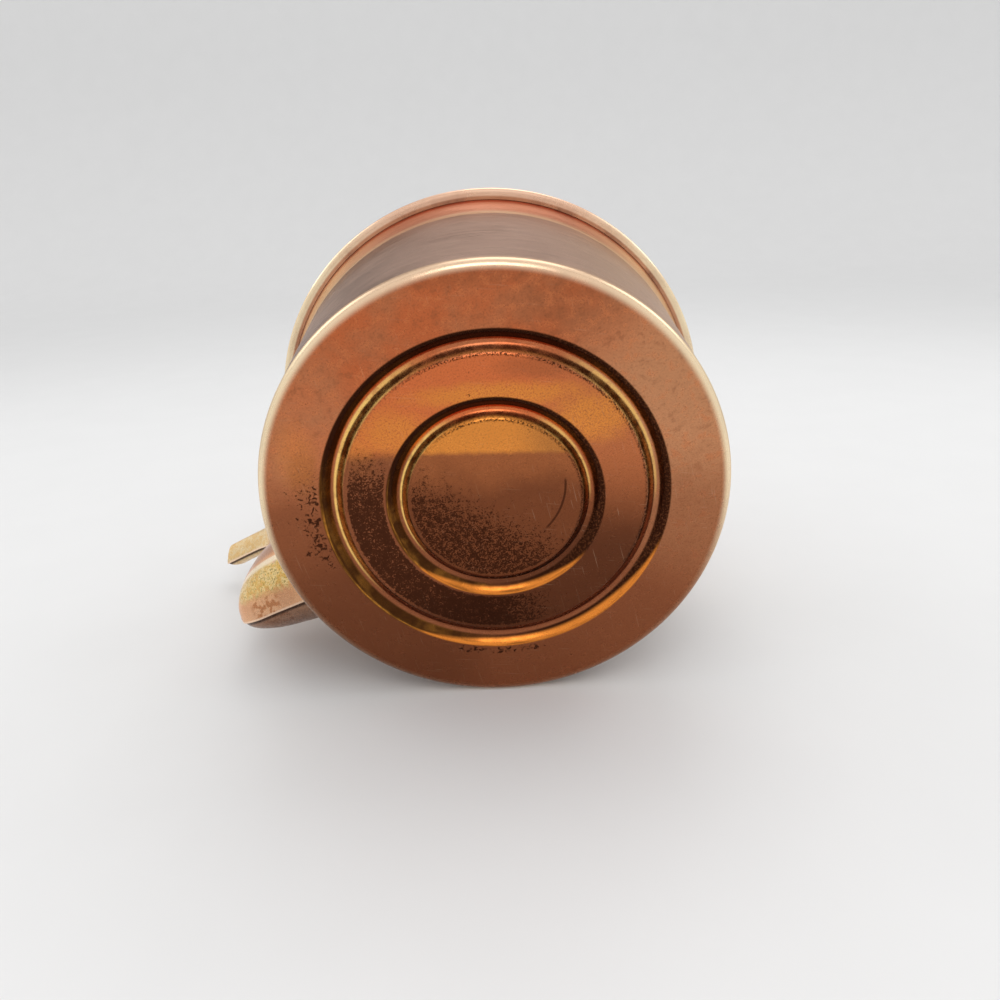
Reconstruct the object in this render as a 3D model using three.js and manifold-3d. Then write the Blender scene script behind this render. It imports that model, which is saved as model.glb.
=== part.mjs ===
// Copper tea kettle, in millimetres, +Z up.
// The origin is the centre of the flat base. The spout points along -X.
// The bail's hinge axis lies along X, so it swings to the left and right of the spout.
import * as THREE from "three";
import { mergeVertices } from "three/addons/utils/BufferGeometryUtils.js";
import Module from "manifold-3d";

const wasm = await Module();
wasm.setup();

// Sheet and fits
const SHEET = 1.0; // copper sheet
const SEAT = 0.3; // gap left where one piece is seated or soldered on another
const RUN = 0.1; // radial clearance of a pin or rod in a hole that turns on it
const ROUND = 40; // sides of the large turned shapes
const SMALL_ROUND = 16; // sides of pins, rods and grips

// Pan: the drawn base and its leaning, flared wall
const BASE_FLAT_R = 85; // outer edge of the flat that the kettle stands on
const BASE_CORNER = 3.5; // radius of the corner from base to wall
const WALL_SPREAD = 3.7; // how much wider the straight wall is at its top than at its foot
const FLARE_HEIGHT = 20.2; // from the straight wall's top to mid bead
const FLARE_SPREAD = 3; // how much wider the flare is at the bead than the straight wall
const WALL_FILLET = 1.5; // bend from the flare out into the flange inside the bead
// Each groove starts "inset" inside the edge before it. It falls over "outer" and rises again over "inner".
const OUTER_GROOVE = { inset: 19.4, outer: 5.2, inner: 4.6, depth: 3.4 };
const INNER_GROOVE = { inset: 14.8, outer: 5.2, inner: 3.8, depth: 3.2 };
const GROOVE_STEPS = 3; // on each side of a groove

// Seam bead that locks the dome to the pan
const BEAD_Z = 107.2; // mid height of the bead
const BEAD_REACH = 4.8; // how far the bead stands out from the top of the flare
const BEAD_PLAY = 0.4; // gap on each side of the pan's flange inside the bead

// Dome
const DOME_RISE = 38; // height of the full ellipse above the bead
const DOME_BEND = 1.2; // radius of the bend from the bead up into the dome
const DOME_STEPS = 7;

// Neck ring around the filling mouth
const NECK_BORE_R = 50;
const NECK_FOOT = 6.5; // width of the foot soldered to the dome
const NECK_BEND = 1.4; // bend from the foot up into the neck
const NECK_HEIGHT = 9.5; // from the dome at the mouth to the middle of the rim roll
const NECK_ROLL_R = 1.5; // radius of the rolled rim

// Lid
const LID_OVERHANG = 2.4; // how far the lid reaches past the neck's rim roll
const LID_RISE = 13; // crown of the lid above its rim
const LID_RIM_WIDTH = 6; // flat band that rests on the neck's rim
const LID_STEP = 2.5; // rise just inside that band
const LID_LIP = 2.2; // depth of the turned-down edge
const LID_EDGE = 0.9; // bevel of that edge
const LID_WELL = 0.8; // run of the step outside the rim band
const LID_BOSS_R = 14; // flat seat under the knob
const LID_RING_DEPTH = 11; // how deep the locating ring reaches into the neck
const LID_RING_PLAY = 0.7; // gap between the locating ring and the neck
const LID_RING_TAB = 3.5; // width of the ring's turned-in edge, which is soldered under the lid
const VENT_R = 1.6; // steam hole
const VENT_INSET = 25; // from the lid's edge

// Knob
const KNOB_PLATE_R = 11.5;
const KNOB_PLATE_H = 1.8;
const KNOB_PLATE_BEVEL = 1.6;
const KNOB_H = 24;
const KNOB_FOOT_R = 7.5;
const KNOB_WAIST_R = 5.8;
const KNOB_TOP_R = 13.5;
const KNOB_FLARE = 2.2; // how much wider the knob is halfway up than at its waist
const KNOB_SEAT = 0.1; // gap between the lid, the plate and the knob, which the screw clamps
const KNOB_SCREW_R = 2;
const KNOB_SCREW_HEAD_R = 4.2;
const KNOB_SCREW_HEAD_H = 2.2;
const KNOB_SCREW_REACH = 14; // thread length inside the knob
const KNOB_BORE_SPARE = 1; // depth of the bore past the screw's tip

// Spout
const SPOUT_SHEET = 1.0;
const SPOUT_SEAM = 0.3; // gap between the two soldered halves
const SPOUT_LAP = 0.8; // how far the left half's edge stands proud along the seam
const SPOUT_HOLE_INSET = 4.5; // how far the hole in the wall stays inside the spout's root
const SPOUT_SIDES = 8; // facets round each half
const SPOUT_STATIONS = 20;
const SPOUT_ROOT = 1; // the section that meets the wall
const SPOUT_HOLE_STEPS = 28;
// Each row is one section. A side's two numbers are how far out from the wall's foot it is, and how high.
const SPOUT_SECTIONS = [
  { under: [-6.5, 11], over: [-6.5, 69.5], half: 20 },
  { under: [6.5, 14.6], over: [7.5, 69.5], half: 19.6 },
  { under: [21.1, 19.6], over: [14.5, 72], half: 18.6 },
  { under: [34.8, 24.1], over: [19.3, 76], half: 16.3 },
  { under: [43.5, 30], over: [22.5, 81], half: 13.4 },
  { under: [46.4, 40], over: [24.7, 86.4], half: 11.2 },
  { under: [47.5, 55], over: [26.5, 91.6], half: 9.3 },
  { under: [47.3, 72], over: [28.3, 97], half: 7.8 },
  { under: [46.3, 87.4], over: [30.5, 103.3], half: 6.7 },
  { under: [46.5, 99], over: [34.1, 111.2], half: 6.2 },
  { under: [51.1, 107], over: [39.9, 119], half: 6.1 },
  { under: [57.9, 112], over: [49.1, 124.6], half: 6.1 },
  { under: [66.9, 115.4], over: [60.1, 128.3], half: 6.1 },
  { under: [84, 120.5], over: [73.9, 132.2], half: 6.2 },
];

// Rivets that hold the ears
const RIVET_R = 1.7;
const RIVET_HEAD_R = 3;
const RIVET_HEAD_H = 1.7;

// Handle ears
const EAR_GAP = 5.5; // from the neck's foot to the ear's foot
const EAR_PLATE = 2; // thickness of the foot that follows the dome
const EAR_FOOT = 14; // size of the foot along X
const EAR_CHAMFER = 4; // cut corners of the foot
const EAR_EDGE = 1.6; // from a rivet's head to the end of the foot
const EAR_LUG = 3; // thickness of the upright lug
const EAR_LUG_HALF = 7.5; // half width at the pivot
const EAR_LUG_ROOT_HALF = 8.5; // half width where the lug meets its foot
const EAR_LUG_FOOT = 1; // how far above the foot plate the lug starts to narrow
const EAR_RIVET_GAP = 0.9; // from the lug's root to a rivet's head

// Bail
const PIN_R = 2.6;
const PIN_HEAD_R = 4.4;
const PIN_HEAD_H = 1.8;
const ARM_THICK = 2.5;
const ARM_HALF = 6.5; // half width of the strap
const ARM_CLEAR = 2.6; // from the strap's lower end to the top of the rivets' heads
const ARM_STRAIGHT = 16; // straight lengths below and above the bend
const ARM_STEPS = 12;
const HAND_ROOM = 27.5; // from the knob's top to the grip
const GRIP_LENGTH = 104; // over both ferrules
const GRIP_MID_R = 11.5;
const GRIP_END_R = 8;
const GRIP_SWELL = 1.6; // how far the wood stands out beside a ferrule
const GRIP_GAP = 0.5; // end play between the grip's ferrules and the straps
const ROD_R = 2.3;
const ROD_HEAD_R = 4.2;
const ROD_HEAD_H = 2;
const FERRULE_SHEET = 0.8;
const FERRULE_LENGTH = 9;
const FERRULE_CHAMFER = 1.2;

const copper = () => new THREE.MeshStandardMaterial({ color: 0xb5623f, roughness: 0.3, metalness: 1 });
const brass = () => new THREE.MeshStandardMaterial({ color: 0xc29a54, roughness: 0.35, metalness: 1 });
const wood = () => new THREE.MeshStandardMaterial({ color: 0x3a2114, roughness: 0.45, metalness: 0 });

const v2 = (x, y) => new THREE.Vector2(x, y);
const v3 = (x, y, z) => new THREE.Vector3(x, y, z);

// Points along an arc, in degrees, both ends included.
function arc(cx, cy, radius, from, to, steps) {
  return Array.from({ length: steps + 1 }, (_, i) => {
    const a = THREE.MathUtils.degToRad(from + ((to - from) * i) / steps);
    return v2(cx + radius * Math.cos(a), cy + radius * Math.sin(a));
  });
}

// A closed outline of radius and height, turned about Z.
function turned(outline, sides = ROUND) {
  const closed = outline[0].x === 0 && outline.at(-1).x === 0 ? outline : [...outline, outline[0].clone()];
  return new THREE.LatheGeometry(closed, sides).rotateX(Math.PI / 2);
}

// The same outline turned about X.
const turnedAboutX = (outline, sides = SMALL_ROUND) => turned(outline, sides).rotateY(Math.PI / 2);

function solid(geometry) {
  const bare = geometry.index ? geometry.toNonIndexed() : geometry.clone();
  bare.deleteAttribute("normal");
  bare.deleteAttribute("uv");
  const merged = mergeVertices(bare, 1e-4);
  const mesh = new wasm.Mesh({
    numProp: 3,
    vertProperties: merged.attributes.position.array,
    triVerts: new Uint32Array(merged.index.array),
  });
  return new wasm.Manifold(mesh);
}

function geometryOf(made) {
  const mesh = made.getMesh();
  const stride = mesh.numProp;
  const xyz = new Float32Array(mesh.numVert * 3);
  for (let i = 0; i < mesh.numVert; i++) {
    xyz.set(mesh.vertProperties.subarray(i * stride, i * stride + 3), i * 3);
  }
  return new THREE.BufferGeometry()
    .setAttribute("position", new THREE.BufferAttribute(xyz, 3))
    .setIndex(new THREE.BufferAttribute(new Uint32Array(mesh.triVerts), 1));
}

// The outline of a sheet: its outside line, and the same line moved by the sheet's thickness to its left.
function sheetOutline(line, thickness) {
  const moved = line.map((p, i) => {
    const before = line[Math.max(i - 1, 0)];
    const after = line[Math.min(i + 1, line.length - 1)];
    const a = p.clone().sub(before).normalize();
    const b = after.clone().sub(p).normalize();
    const first = i === 0 ? b : a;
    const last = i === line.length - 1 ? a : b;
    const bisector = v2(-(first.y + last.y), first.x + last.x).normalize();
    const spread = bisector.dot(v2(-last.y, last.x));
    const point = p.clone().addScaledVector(bisector, thickness / spread);
    if (p.x === 0) point.x = 0;
    return point;
  });
  return [...line, ...moved.reverse()];
}

function extruded(outline, depth) {
  return new THREE.ExtrudeGeometry(new THREE.Shape(outline), { depth, bevelEnabled: false, steps: 1 });
}

// An outline drawn in X and Z, given its thickness along Y and centred on it.
const slabXZ = (outline, thick) => extruded(outline, thick).rotateX(Math.PI / 2).translate(0, thick / 2, 0);

// An outline drawn in Y and Z, given its thickness along X and centred on it.
const slabYZ = (outline, thick) =>
  extruded(outline, thick).rotateX(Math.PI / 2).rotateZ(Math.PI / 2).translate(-thick / 2, 0, 0);

// A cylinder along the unit vector "along", centred on "middle".
function cylinderAt(middle, along, radius, length, sides = SMALL_ROUND) {
  const turn = new THREE.Quaternion().setFromUnitVectors(v3(0, 1, 0), along);
  return new THREE.CylinderGeometry(radius, radius, length, sides)
    .applyQuaternion(turn)
    .translate(middle.x, middle.y, middle.z);
}

function piece(name, geometry, material) {
  const mesh = new THREE.Mesh(geometry, material);
  mesh.name = name;
  return mesh;
}

// Pan

const wallFootR = BASE_FLAT_R + BASE_CORNER;
const wallTop = v2(wallFootR + WALL_SPREAD, BEAD_Z - FLARE_HEIGHT);
const wallLean = THREE.MathUtils.radToDeg(Math.atan2(WALL_SPREAD, wallTop.y - BASE_CORNER));
const flareR = wallTop.x + FLARE_SPREAD;
const flangeUnderZ = BEAD_Z - SHEET / 2;
const flareTop = v2(flareR, flangeUnderZ - WALL_FILLET);
const beadR = flareR + BEAD_REACH;
const beadHalf = 1.5 * SHEET + BEAD_PLAY; // half the bead's height: three sheets and two gaps

// A rounded groove pressed up into the flat base, from its inner edge out to radius "edge".
function grooveLine(edge, { outer, inner, depth }) {
  const valley = edge - outer;
  return Array.from({ length: 2 * GROOVE_STEPS + 1 }, (_, i) => {
    const share = i / GROOVE_STEPS - 1;
    const rise = (depth * (1 + Math.cos(Math.PI * share))) / 2;
    return v2(valley + share * (share < 0 ? inner : outer), rise);
  });
}

function wallLine() {
  const corner = arc(BASE_FLAT_R, BASE_CORNER, BASE_CORNER, -90, -wallLean, 3);
  const rise = flareTop.y - wallTop.y;
  const lean = (WALL_SPREAD / (wallTop.y - BASE_CORNER)) * rise;
  const flare = new THREE.CubicBezierCurve(
    wallTop,
    v2(wallTop.x + lean / 3, wallTop.y + rise / 3),
    v2(flareTop.x - FLARE_SPREAD * 0.4, flareTop.y - rise / 3),
    flareTop
  ).getPoints(3);
  return [...corner, ...flare];
}

function panLine() {
  const outerGroove = BASE_FLAT_R - OUTER_GROOVE.inset;
  const innerGroove = outerGroove - OUTER_GROOVE.outer - OUTER_GROOVE.inner - INNER_GROOVE.inset;
  const flangeEnd = beadR - SHEET - BEAD_PLAY;
  return [
    v2(0, 0),
    ...grooveLine(innerGroove, INNER_GROOVE),
    ...grooveLine(outerGroove, OUTER_GROOVE),
    ...wallLine(),
    ...arc(flareR + WALL_FILLET, flareTop.y, WALL_FILLET, 180, 90, 2).slice(1),
    v2(flangeEnd, flangeUnderZ),
  ];
}

// The space inside the wall's outer face, made larger all round by "gap": it trims the spout's root.
function wallCutter(gap) {
  const line = wallLine().map((p) => v2(p.x + gap, p.y));
  return solid(turned([v2(0, -1), v2(BASE_FLAT_R, -1), ...line, v2(0, line.at(-1).y)]));
}

function pan() {
  const shell = solid(turned(sheetOutline(panLine(), SHEET)));
  const { under, over, half } = SPOUT_SECTIONS[SPOUT_ROOT];
  const middle = (over[1] + under[1]) / 2;
  const halfWidth = half - SPOUT_HOLE_INSET;
  const halfHeight = (over[1] - under[1]) / 2 - SPOUT_HOLE_INSET;
  const oval = new THREE.EllipseCurve(0, middle, halfWidth, halfHeight).getPoints(SPOUT_HOLE_STEPS);
  const hole = solid(slabYZ(oval.slice(0, -1), wallFootR).translate(-wallFootR, 0, 0));
  return geometryOf(shell.subtract(hole));
}

// Dome

const domeR = flareR; // where the dome rises out of the bead
const domeFootZ = BEAD_Z + beadHalf;
const domeZ = (r) => domeFootZ + DOME_RISE * Math.sqrt(1 - (r / domeR) ** 2);
const mouthR = NECK_BORE_R + SHEET;

function domeLine() {
  const first = Math.acos(mouthR / domeR);
  const last = Math.asin((1.6 * DOME_BEND) / DOME_RISE);
  const crown = Array.from({ length: DOME_STEPS + 1 }, (_, i) => {
    const a = first + ((last - first) * i) / DOME_STEPS;
    return v2(domeR * Math.cos(a), domeFootZ + DOME_RISE * Math.sin(a));
  });
  return [
    ...crown,
    ...arc(domeR + DOME_BEND, domeFootZ + DOME_BEND, DOME_BEND, 205, 270, 2),
    ...arc(beadR - beadHalf, BEAD_Z, beadHalf, 90, -90, 7),
    v2(flareR + 0.9 * WALL_FILLET, BEAD_Z - beadHalf),
  ].reverse();
}

const domeSurface = () => sheetOutline(domeLine(), SHEET);

// A solid between the dome's outer face moved up by "low" and by "high".
function domeLayer(low, high, fromR, toR) {
  const steps = 8;
  const line = (lift) =>
    Array.from({ length: steps + 1 }, (_, i) => {
      const r = fromR + ((toR - fromR) * i) / steps;
      return v2(r, domeZ(r) + lift);
    });
  return solid(turned([...line(low), ...line(high).reverse()]));
}

// The dome's outward direction at a point above X = x, Y = y.
function domeNormal(x, y) {
  const r = Math.hypot(x, y);
  const slope = (DOME_RISE * r) / (domeR ** 2 * Math.sqrt(1 - (r / domeR) ** 2));
  return v3((x / r) * slope, (y / r) * slope, 1).normalize();
}

const earX = mouthR + NECK_FOOT + EAR_GAP + EAR_FOOT / 2;
const earRivetY = EAR_LUG_ROOT_HALF + EAR_RIVET_GAP + RIVET_HEAD_R;
const earFootHalf = earRivetY + RIVET_HEAD_R + EAR_EDGE;
const rivetHeadTop = SEAT + EAR_PLATE + SEAT + RIVET_HEAD_H;
const pivotZ = domeZ(earX) + rivetHeadTop + ARM_CLEAR + ARM_HALF;

const earSpots = [
  { ear: "front", side: -1 },
  { ear: "back", side: 1 },
];
const rivetSpots = earSpots.flatMap(({ ear, side }) =>
  [-1, 1].map((hand) => {
    const x = side * earX;
    const y = hand * earRivetY;
    const name = `rivet_${ear}_${hand < 0 ? "left" : "right"}`;
    return { name, point: v3(x, y, domeZ(Math.hypot(x, y))), normal: domeNormal(x, y) };
  })
);

function dome() {
  let shell = solid(turned(domeSurface()));
  for (const { point, normal } of rivetSpots) {
    shell = shell.subtract(solid(cylinderAt(point, normal, RIVET_R + SEAT, 8 * SHEET, 12)));
  }
  return geometryOf(shell);
}

// Neck

const neckRimZ = domeZ(mouthR) + NECK_HEIGHT;

function neck() {
  const footEnd = mouthR + NECK_FOOT;
  const lift = SEAT + SHEET;
  return turned([
    v2(NECK_BORE_R, domeZ(mouthR) + SEAT),
    v2(mouthR, domeZ(mouthR) + SEAT),
    v2((mouthR + footEnd) / 2, domeZ((mouthR + footEnd) / 2) + SEAT),
    v2(footEnd, domeZ(footEnd) + SEAT),
    v2(footEnd, domeZ(footEnd) + lift),
    v2((mouthR + footEnd) / 2, domeZ((mouthR + footEnd) / 2) + lift),
    v2(mouthR + NECK_BEND, domeZ(mouthR + NECK_BEND) + lift),
    v2(mouthR, domeZ(mouthR) + lift + NECK_BEND),
    ...arc(NECK_BORE_R + NECK_ROLL_R, neckRimZ, NECK_ROLL_R, -110, 180, 6),
  ]);
}

// Lid, in a group whose origin is the top of the neck's rim

const lidSeatZ = neckRimZ + NECK_ROLL_R;
const lidR = NECK_BORE_R + 2 * NECK_ROLL_R + LID_OVERHANG;
const lidUnderZ = SEAT; // height of the lid's flat underside above the rim
const lidCrownZ = lidUnderZ + SHEET + LID_RISE;

// The lid's upper face, from the centre to the edge of its lip.
function lidLine() {
  const innerR = lidR - LID_RIM_WIDTH;
  const top = lidUnderZ + SHEET;
  const steps = 5;
  const crown = Array.from({ length: steps + 1 }, (_, i) => {
    const r = LID_BOSS_R + ((innerR - LID_BOSS_R) * i) / steps;
    const share = (r - LID_BOSS_R) / (innerR - LID_BOSS_R);
    return v2(r, top + LID_STEP + (LID_RISE - LID_STEP) * Math.cos((share * Math.PI) / 2) ** 0.9);
  });
  return [
    v2(0, lidCrownZ),
    ...crown,
    v2(innerR + LID_WELL, top),
    v2(lidR - LID_EDGE, top),
    v2(lidR, top - LID_EDGE),
    v2(lidR, -LID_LIP),
  ];
}

function lidDome() {
  const shell = solid(turned(sheetOutline(lidLine().reverse(), SHEET)));
  const up = v3(0, 0, 1);
  const vent = cylinderAt(v3(lidR - VENT_INSET, 0, lidCrownZ), up, VENT_R, 2 * lidCrownZ, 12);
  const screwHole = cylinderAt(v3(0, 0, lidCrownZ), up, KNOB_SCREW_R + SEAT, 4 * SHEET, 12);
  return geometryOf(shell.subtract(solid(vent)).subtract(solid(screwHole)));
}

function lidRing() {
  const outer = NECK_BORE_R - LID_RING_PLAY;
  const top = lidUnderZ - SEAT;
  return turned([
    v2(outer - SHEET, -LID_RING_DEPTH),
    v2(outer, -LID_RING_DEPTH),
    v2(outer, top),
    v2(outer - LID_RING_TAB, top),
    v2(outer - LID_RING_TAB, top - SHEET),
    v2(outer - SHEET, top - SHEET),
  ]);
}

const knobPlateZ = lidCrownZ + KNOB_SEAT;
const knobZ = knobPlateZ + KNOB_PLATE_H + KNOB_SEAT;

function knobPlate() {
  const hole = KNOB_SCREW_R + SEAT;
  return turned(
    [
      v2(hole, knobPlateZ),
      v2(KNOB_PLATE_R, knobPlateZ),
      v2(KNOB_PLATE_R, knobPlateZ + KNOB_PLATE_H * 0.4),
      v2(KNOB_PLATE_R - KNOB_PLATE_BEVEL, knobPlateZ + KNOB_PLATE_H),
      v2(hole, knobPlateZ + KNOB_PLATE_H),
    ],
    24
  );
}

function knob() {
  const bore = KNOB_SCREW_R + SEAT;
  const side = new THREE.SplineCurve([
    v2(KNOB_FOOT_R, knobZ),
    v2(KNOB_WAIST_R, knobZ + KNOB_H * 0.25),
    v2(KNOB_WAIST_R + KNOB_FLARE, knobZ + KNOB_H * 0.46),
    v2(KNOB_TOP_R, knobZ + KNOB_H * 0.72),
    v2(KNOB_TOP_R * 0.78, knobZ + KNOB_H * 0.93),
    v2(0, knobZ + KNOB_H),
  ]).getPoints(11);
  const boreTop = knobZ + KNOB_SCREW_REACH + KNOB_BORE_SPARE;
  const outline = [
    v2(0, boreTop),
    v2(bore, boreTop),
    v2(bore, knobZ),
    ...side.slice(0, -1),
    v2(0, knobZ + KNOB_H),
  ];
  return turned(outline, 20);
}

function knobScrew() {
  const headTop = lidCrownZ - SHEET - KNOB_SEAT;
  const tip = knobZ + KNOB_SCREW_REACH;
  return turned(
    [
      v2(0, headTop - KNOB_SCREW_HEAD_H),
      v2(KNOB_SCREW_HEAD_R * 0.75, headTop - KNOB_SCREW_HEAD_H),
      v2(KNOB_SCREW_HEAD_R, headTop - KNOB_SCREW_HEAD_H * 0.4),
      v2(KNOB_SCREW_HEAD_R, headTop),
      v2(KNOB_SCREW_R, headTop),
      v2(KNOB_SCREW_R, tip - 1),
      v2(KNOB_SCREW_R - 0.8, tip),
      v2(0, tip),
    ],
    SMALL_ROUND
  );
}

// Spout

const spoutCurve = (pick) => new THREE.CatmullRomCurve3(SPOUT_SECTIONS.map(pick), false, "centripetal");
const spoutUnder = spoutCurve(({ under: [reach, z] }) => v3(reach, 0, z));
const spoutOver = spoutCurve(({ over: [reach, z] }) => v3(reach, 0, z));
const spoutWidth = spoutCurve(({ half }, i) => v3(i, half, 0));

// Closed C-shaped loop of one half at share t along the spout: its outer face, then its inner face back.
// "hand" is -1 for the left half and 1 for the right, and "lap" raises the seam's edge.
function halfLoop(t, hand, lap) {
  const under = spoutUnder.getPoint(t);
  const over = spoutOver.getPoint(t);
  const width = spoutWidth.getPoint(t).y;
  const middle = under.clone().add(over).multiplyScalar(0.5);
  const tall = under.distanceTo(over) / 2;
  const down = under.clone().sub(middle).normalize();
  const face = (inset, edge) =>
    Array.from({ length: SPOUT_SIDES + 1 }, (_, i) => {
      const a = (Math.PI * i) / SPOUT_SIDES;
      const seam = i === 0 || i === SPOUT_SIDES;
      const reach = (tall - inset + (seam ? edge : 0)) * Math.cos(a);
      const y = SPOUT_SEAM / 2 + (width - inset) * Math.sin(a);
      return v3(-(wallFootR + middle.x + down.x * reach), hand * y, middle.z + down.z * reach);
    });
  return [...face(0, lap), ...face(SPOUT_SHEET, 0).reverse()];
}

// Joins loops of equal length into a closed skin. Each loop's first half faces its second half.
function loft(loops, flip) {
  const n = loops[0].length;
  const triangles = [];
  const quad = (a, b, c, d) => triangles.push(a, b, c, a, c, d);
  for (let s = 0; s + 1 < loops.length; s++) {
    for (let i = 0; i < n; i++) {
      const j = (i + 1) % n;
      quad(loops[s][i], loops[s][j], loops[s + 1][j], loops[s + 1][i]);
    }
  }
  for (const [loop, turn] of [
    [loops[0], true],
    [loops.at(-1), false],
  ]) {
    for (let i = 0; i + 1 < n / 2; i++) {
      const corners = [loop[i], loop[i + 1], loop[n - 2 - i], loop[n - 1 - i]];
      quad(...(turn ? corners.reverse() : corners));
    }
  }
  const ordered = [];
  for (let i = 0; i < triangles.length; i += 3) {
    const [a, b, c] = triangles.slice(i, i + 3);
    ordered.push(a, ...(flip ? [c, b] : [b, c]));
  }
  return new THREE.BufferGeometry().setFromPoints(ordered);
}

function spoutHalf(hand, lap) {
  const stations = Array.from({ length: SPOUT_STATIONS + 1 }, (_, i) => i / SPOUT_STATIONS);
  const loops = stations.map((t) => halfLoop(t, hand, lap));
  return geometryOf(solid(loft(loops, hand > 0)).subtract(wallCutter(SEAT)));
}

// Ears and their rivets

function ear(side) {
  const x = side * earX;
  const corner = v2(EAR_FOOT / 2, earFootHalf);
  const plan = [
    v2(corner.x, corner.y - EAR_CHAMFER),
    v2(corner.x - EAR_CHAMFER, corner.y),
    v2(EAR_CHAMFER - corner.x, corner.y),
    v2(-corner.x, corner.y - EAR_CHAMFER),
    v2(-corner.x, EAR_CHAMFER - corner.y),
    v2(EAR_CHAMFER - corner.x, -corner.y),
    v2(corner.x - EAR_CHAMFER, -corner.y),
    v2(corner.x, EAR_CHAMFER - corner.y),
  ];
  const prism = solid(extruded(plan, 2 * DOME_RISE).translate(x, 0, domeFootZ));
  const foot = domeLayer(SEAT, SEAT + EAR_PLATE, earX - EAR_FOOT, earX + EAR_FOOT).intersect(prism);
  const lugFoot = domeZ(earX) + EAR_PLATE + EAR_LUG_FOOT;
  const outline = [
    v2(-EAR_LUG_ROOT_HALF, domeFootZ),
    v2(EAR_LUG_ROOT_HALF, domeFootZ),
    v2(EAR_LUG_ROOT_HALF, lugFoot),
    ...arc(0, pivotZ, EAR_LUG_HALF, 0, 180, 10),
    v2(-EAR_LUG_ROOT_HALF, lugFoot),
  ];
  const below = domeLayer(-DOME_RISE, SEAT, earX - EAR_FOOT, earX + EAR_FOOT);
  const lug = solid(slabYZ(outline, EAR_LUG).translate(x, 0, 0)).subtract(below);
  const pinHole = solid(cylinderAt(v3(x, 0, pivotZ), v3(1, 0, 0), PIN_R + SEAT, 4 * EAR_LUG));
  let made = foot.add(lug).subtract(pinHole);
  for (const { point, normal } of rivetSpots) {
    made = made.subtract(solid(cylinderAt(point, normal, RIVET_R + SEAT, 8 * SHEET, 12)));
  }
  return geometryOf(made);
}

// A rivet along +Z, with z = 0 on the dome's outer face: round head, shank, and flatter peened head below.
function rivet() {
  const top = rivetHeadTop - RIVET_HEAD_H;
  const bottom = -SHEET - SEAT;
  return turned(
    [
      v2(0, bottom - RIVET_HEAD_H * 0.7),
      v2(RIVET_HEAD_R * 0.7, bottom - RIVET_HEAD_H * 0.6),
      v2(RIVET_HEAD_R * 0.9, bottom),
      v2(RIVET_R, bottom),
      v2(RIVET_R, top),
      v2(RIVET_HEAD_R, top),
      v2(RIVET_HEAD_R * 0.86, top + RIVET_HEAD_H * 0.6),
      v2(RIVET_HEAD_R * 0.45, top + RIVET_HEAD_H * 0.95),
      v2(0, rivetHeadTop),
    ],
    10
  );
}

// Bail, in a group whose origin is the middle of the hinge axis

const armInnerX = earX + EAR_LUG / 2 + SEAT; // the strap's inner face at the ear
const armTopX = GRIP_LENGTH / 2 + GRIP_GAP; // the strap's inner face at the grip
const knobTopZ = lidSeatZ + knobZ + KNOB_H;
const armRise = knobTopZ + HAND_ROOM + GRIP_MID_R - pivotZ; // from the pivot axis to the grip's axis

function arm(side) {
  const lowX = armInnerX + ARM_THICK;
  const topX = armTopX + ARM_THICK;
  const bendTop = armRise - ARM_STRAIGHT;
  const pull = (bendTop - ARM_STRAIGHT) * 0.45;
  const bend = new THREE.CubicBezierCurve(
    v2(lowX, ARM_STRAIGHT),
    v2(lowX, ARM_STRAIGHT + pull),
    v2(topX, bendTop - pull),
    v2(topX, bendTop)
  );
  const line = [v2(lowX, -2 * ARM_HALF), ...bend.getPoints(ARM_STEPS), v2(topX, armRise + 2 * ARM_HALF)];
  const band = sheetOutline(line, ARM_THICK);
  const strap = solid(slabXZ(side < 0 ? band.map((p) => v2(-p.x, p.y)) : band, 4 * ARM_HALF));
  const face = [...arc(0, 0, ARM_HALF, 180, 360, 10), ...arc(0, armRise, ARM_HALF, 0, 180, 10)];
  const outline = solid(slabYZ(face, 4 * earX));
  const along = v3(1, 0, 0);
  const pinHole = solid(cylinderAt(v3(side * lowX, 0, 0), along, PIN_R + RUN, 4 * ARM_THICK));
  const rodHole = solid(cylinderAt(v3(side * topX, 0, armRise), along, ROD_R + SEAT, 4 * ARM_THICK));
  return geometryOf(strap.intersect(outline).subtract(pinHole).subtract(rodHole));
}

// A pivot rivet along +X: flat head inside the ear, shank through ear and strap, round outer head.
function pivotPin() {
  const inner = -EAR_LUG / 2 - SEAT;
  const outer = EAR_LUG / 2 + 2 * SEAT + ARM_THICK;
  return turnedAboutX([
    v2(0, inner - PIN_HEAD_H * 0.6),
    v2(PIN_HEAD_R, inner - PIN_HEAD_H * 0.6),
    v2(PIN_HEAD_R, inner),
    v2(PIN_R, inner),
    v2(PIN_R, outer),
    v2(PIN_HEAD_R, outer),
    v2(PIN_HEAD_R * 0.85, outer + PIN_HEAD_H * 0.6),
    v2(PIN_HEAD_R * 0.45, outer + PIN_HEAD_H * 0.95),
    v2(0, outer + PIN_HEAD_H),
  ]);
}

function gripRod() {
  const face = armTopX + ARM_THICK + SEAT;
  const end = [
    v2(ROD_R, face),
    v2(ROD_HEAD_R, face),
    v2(ROD_HEAD_R * 0.85, face + ROD_HEAD_H * 0.6),
    v2(ROD_HEAD_R * 0.45, face + ROD_HEAD_H * 0.95),
    v2(0, face + ROD_HEAD_H),
  ];
  return turnedAboutX([...end.map((p) => v2(p.x, -p.y)).reverse(), ...end]);
}

const gripHalf = GRIP_LENGTH / 2;

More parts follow.
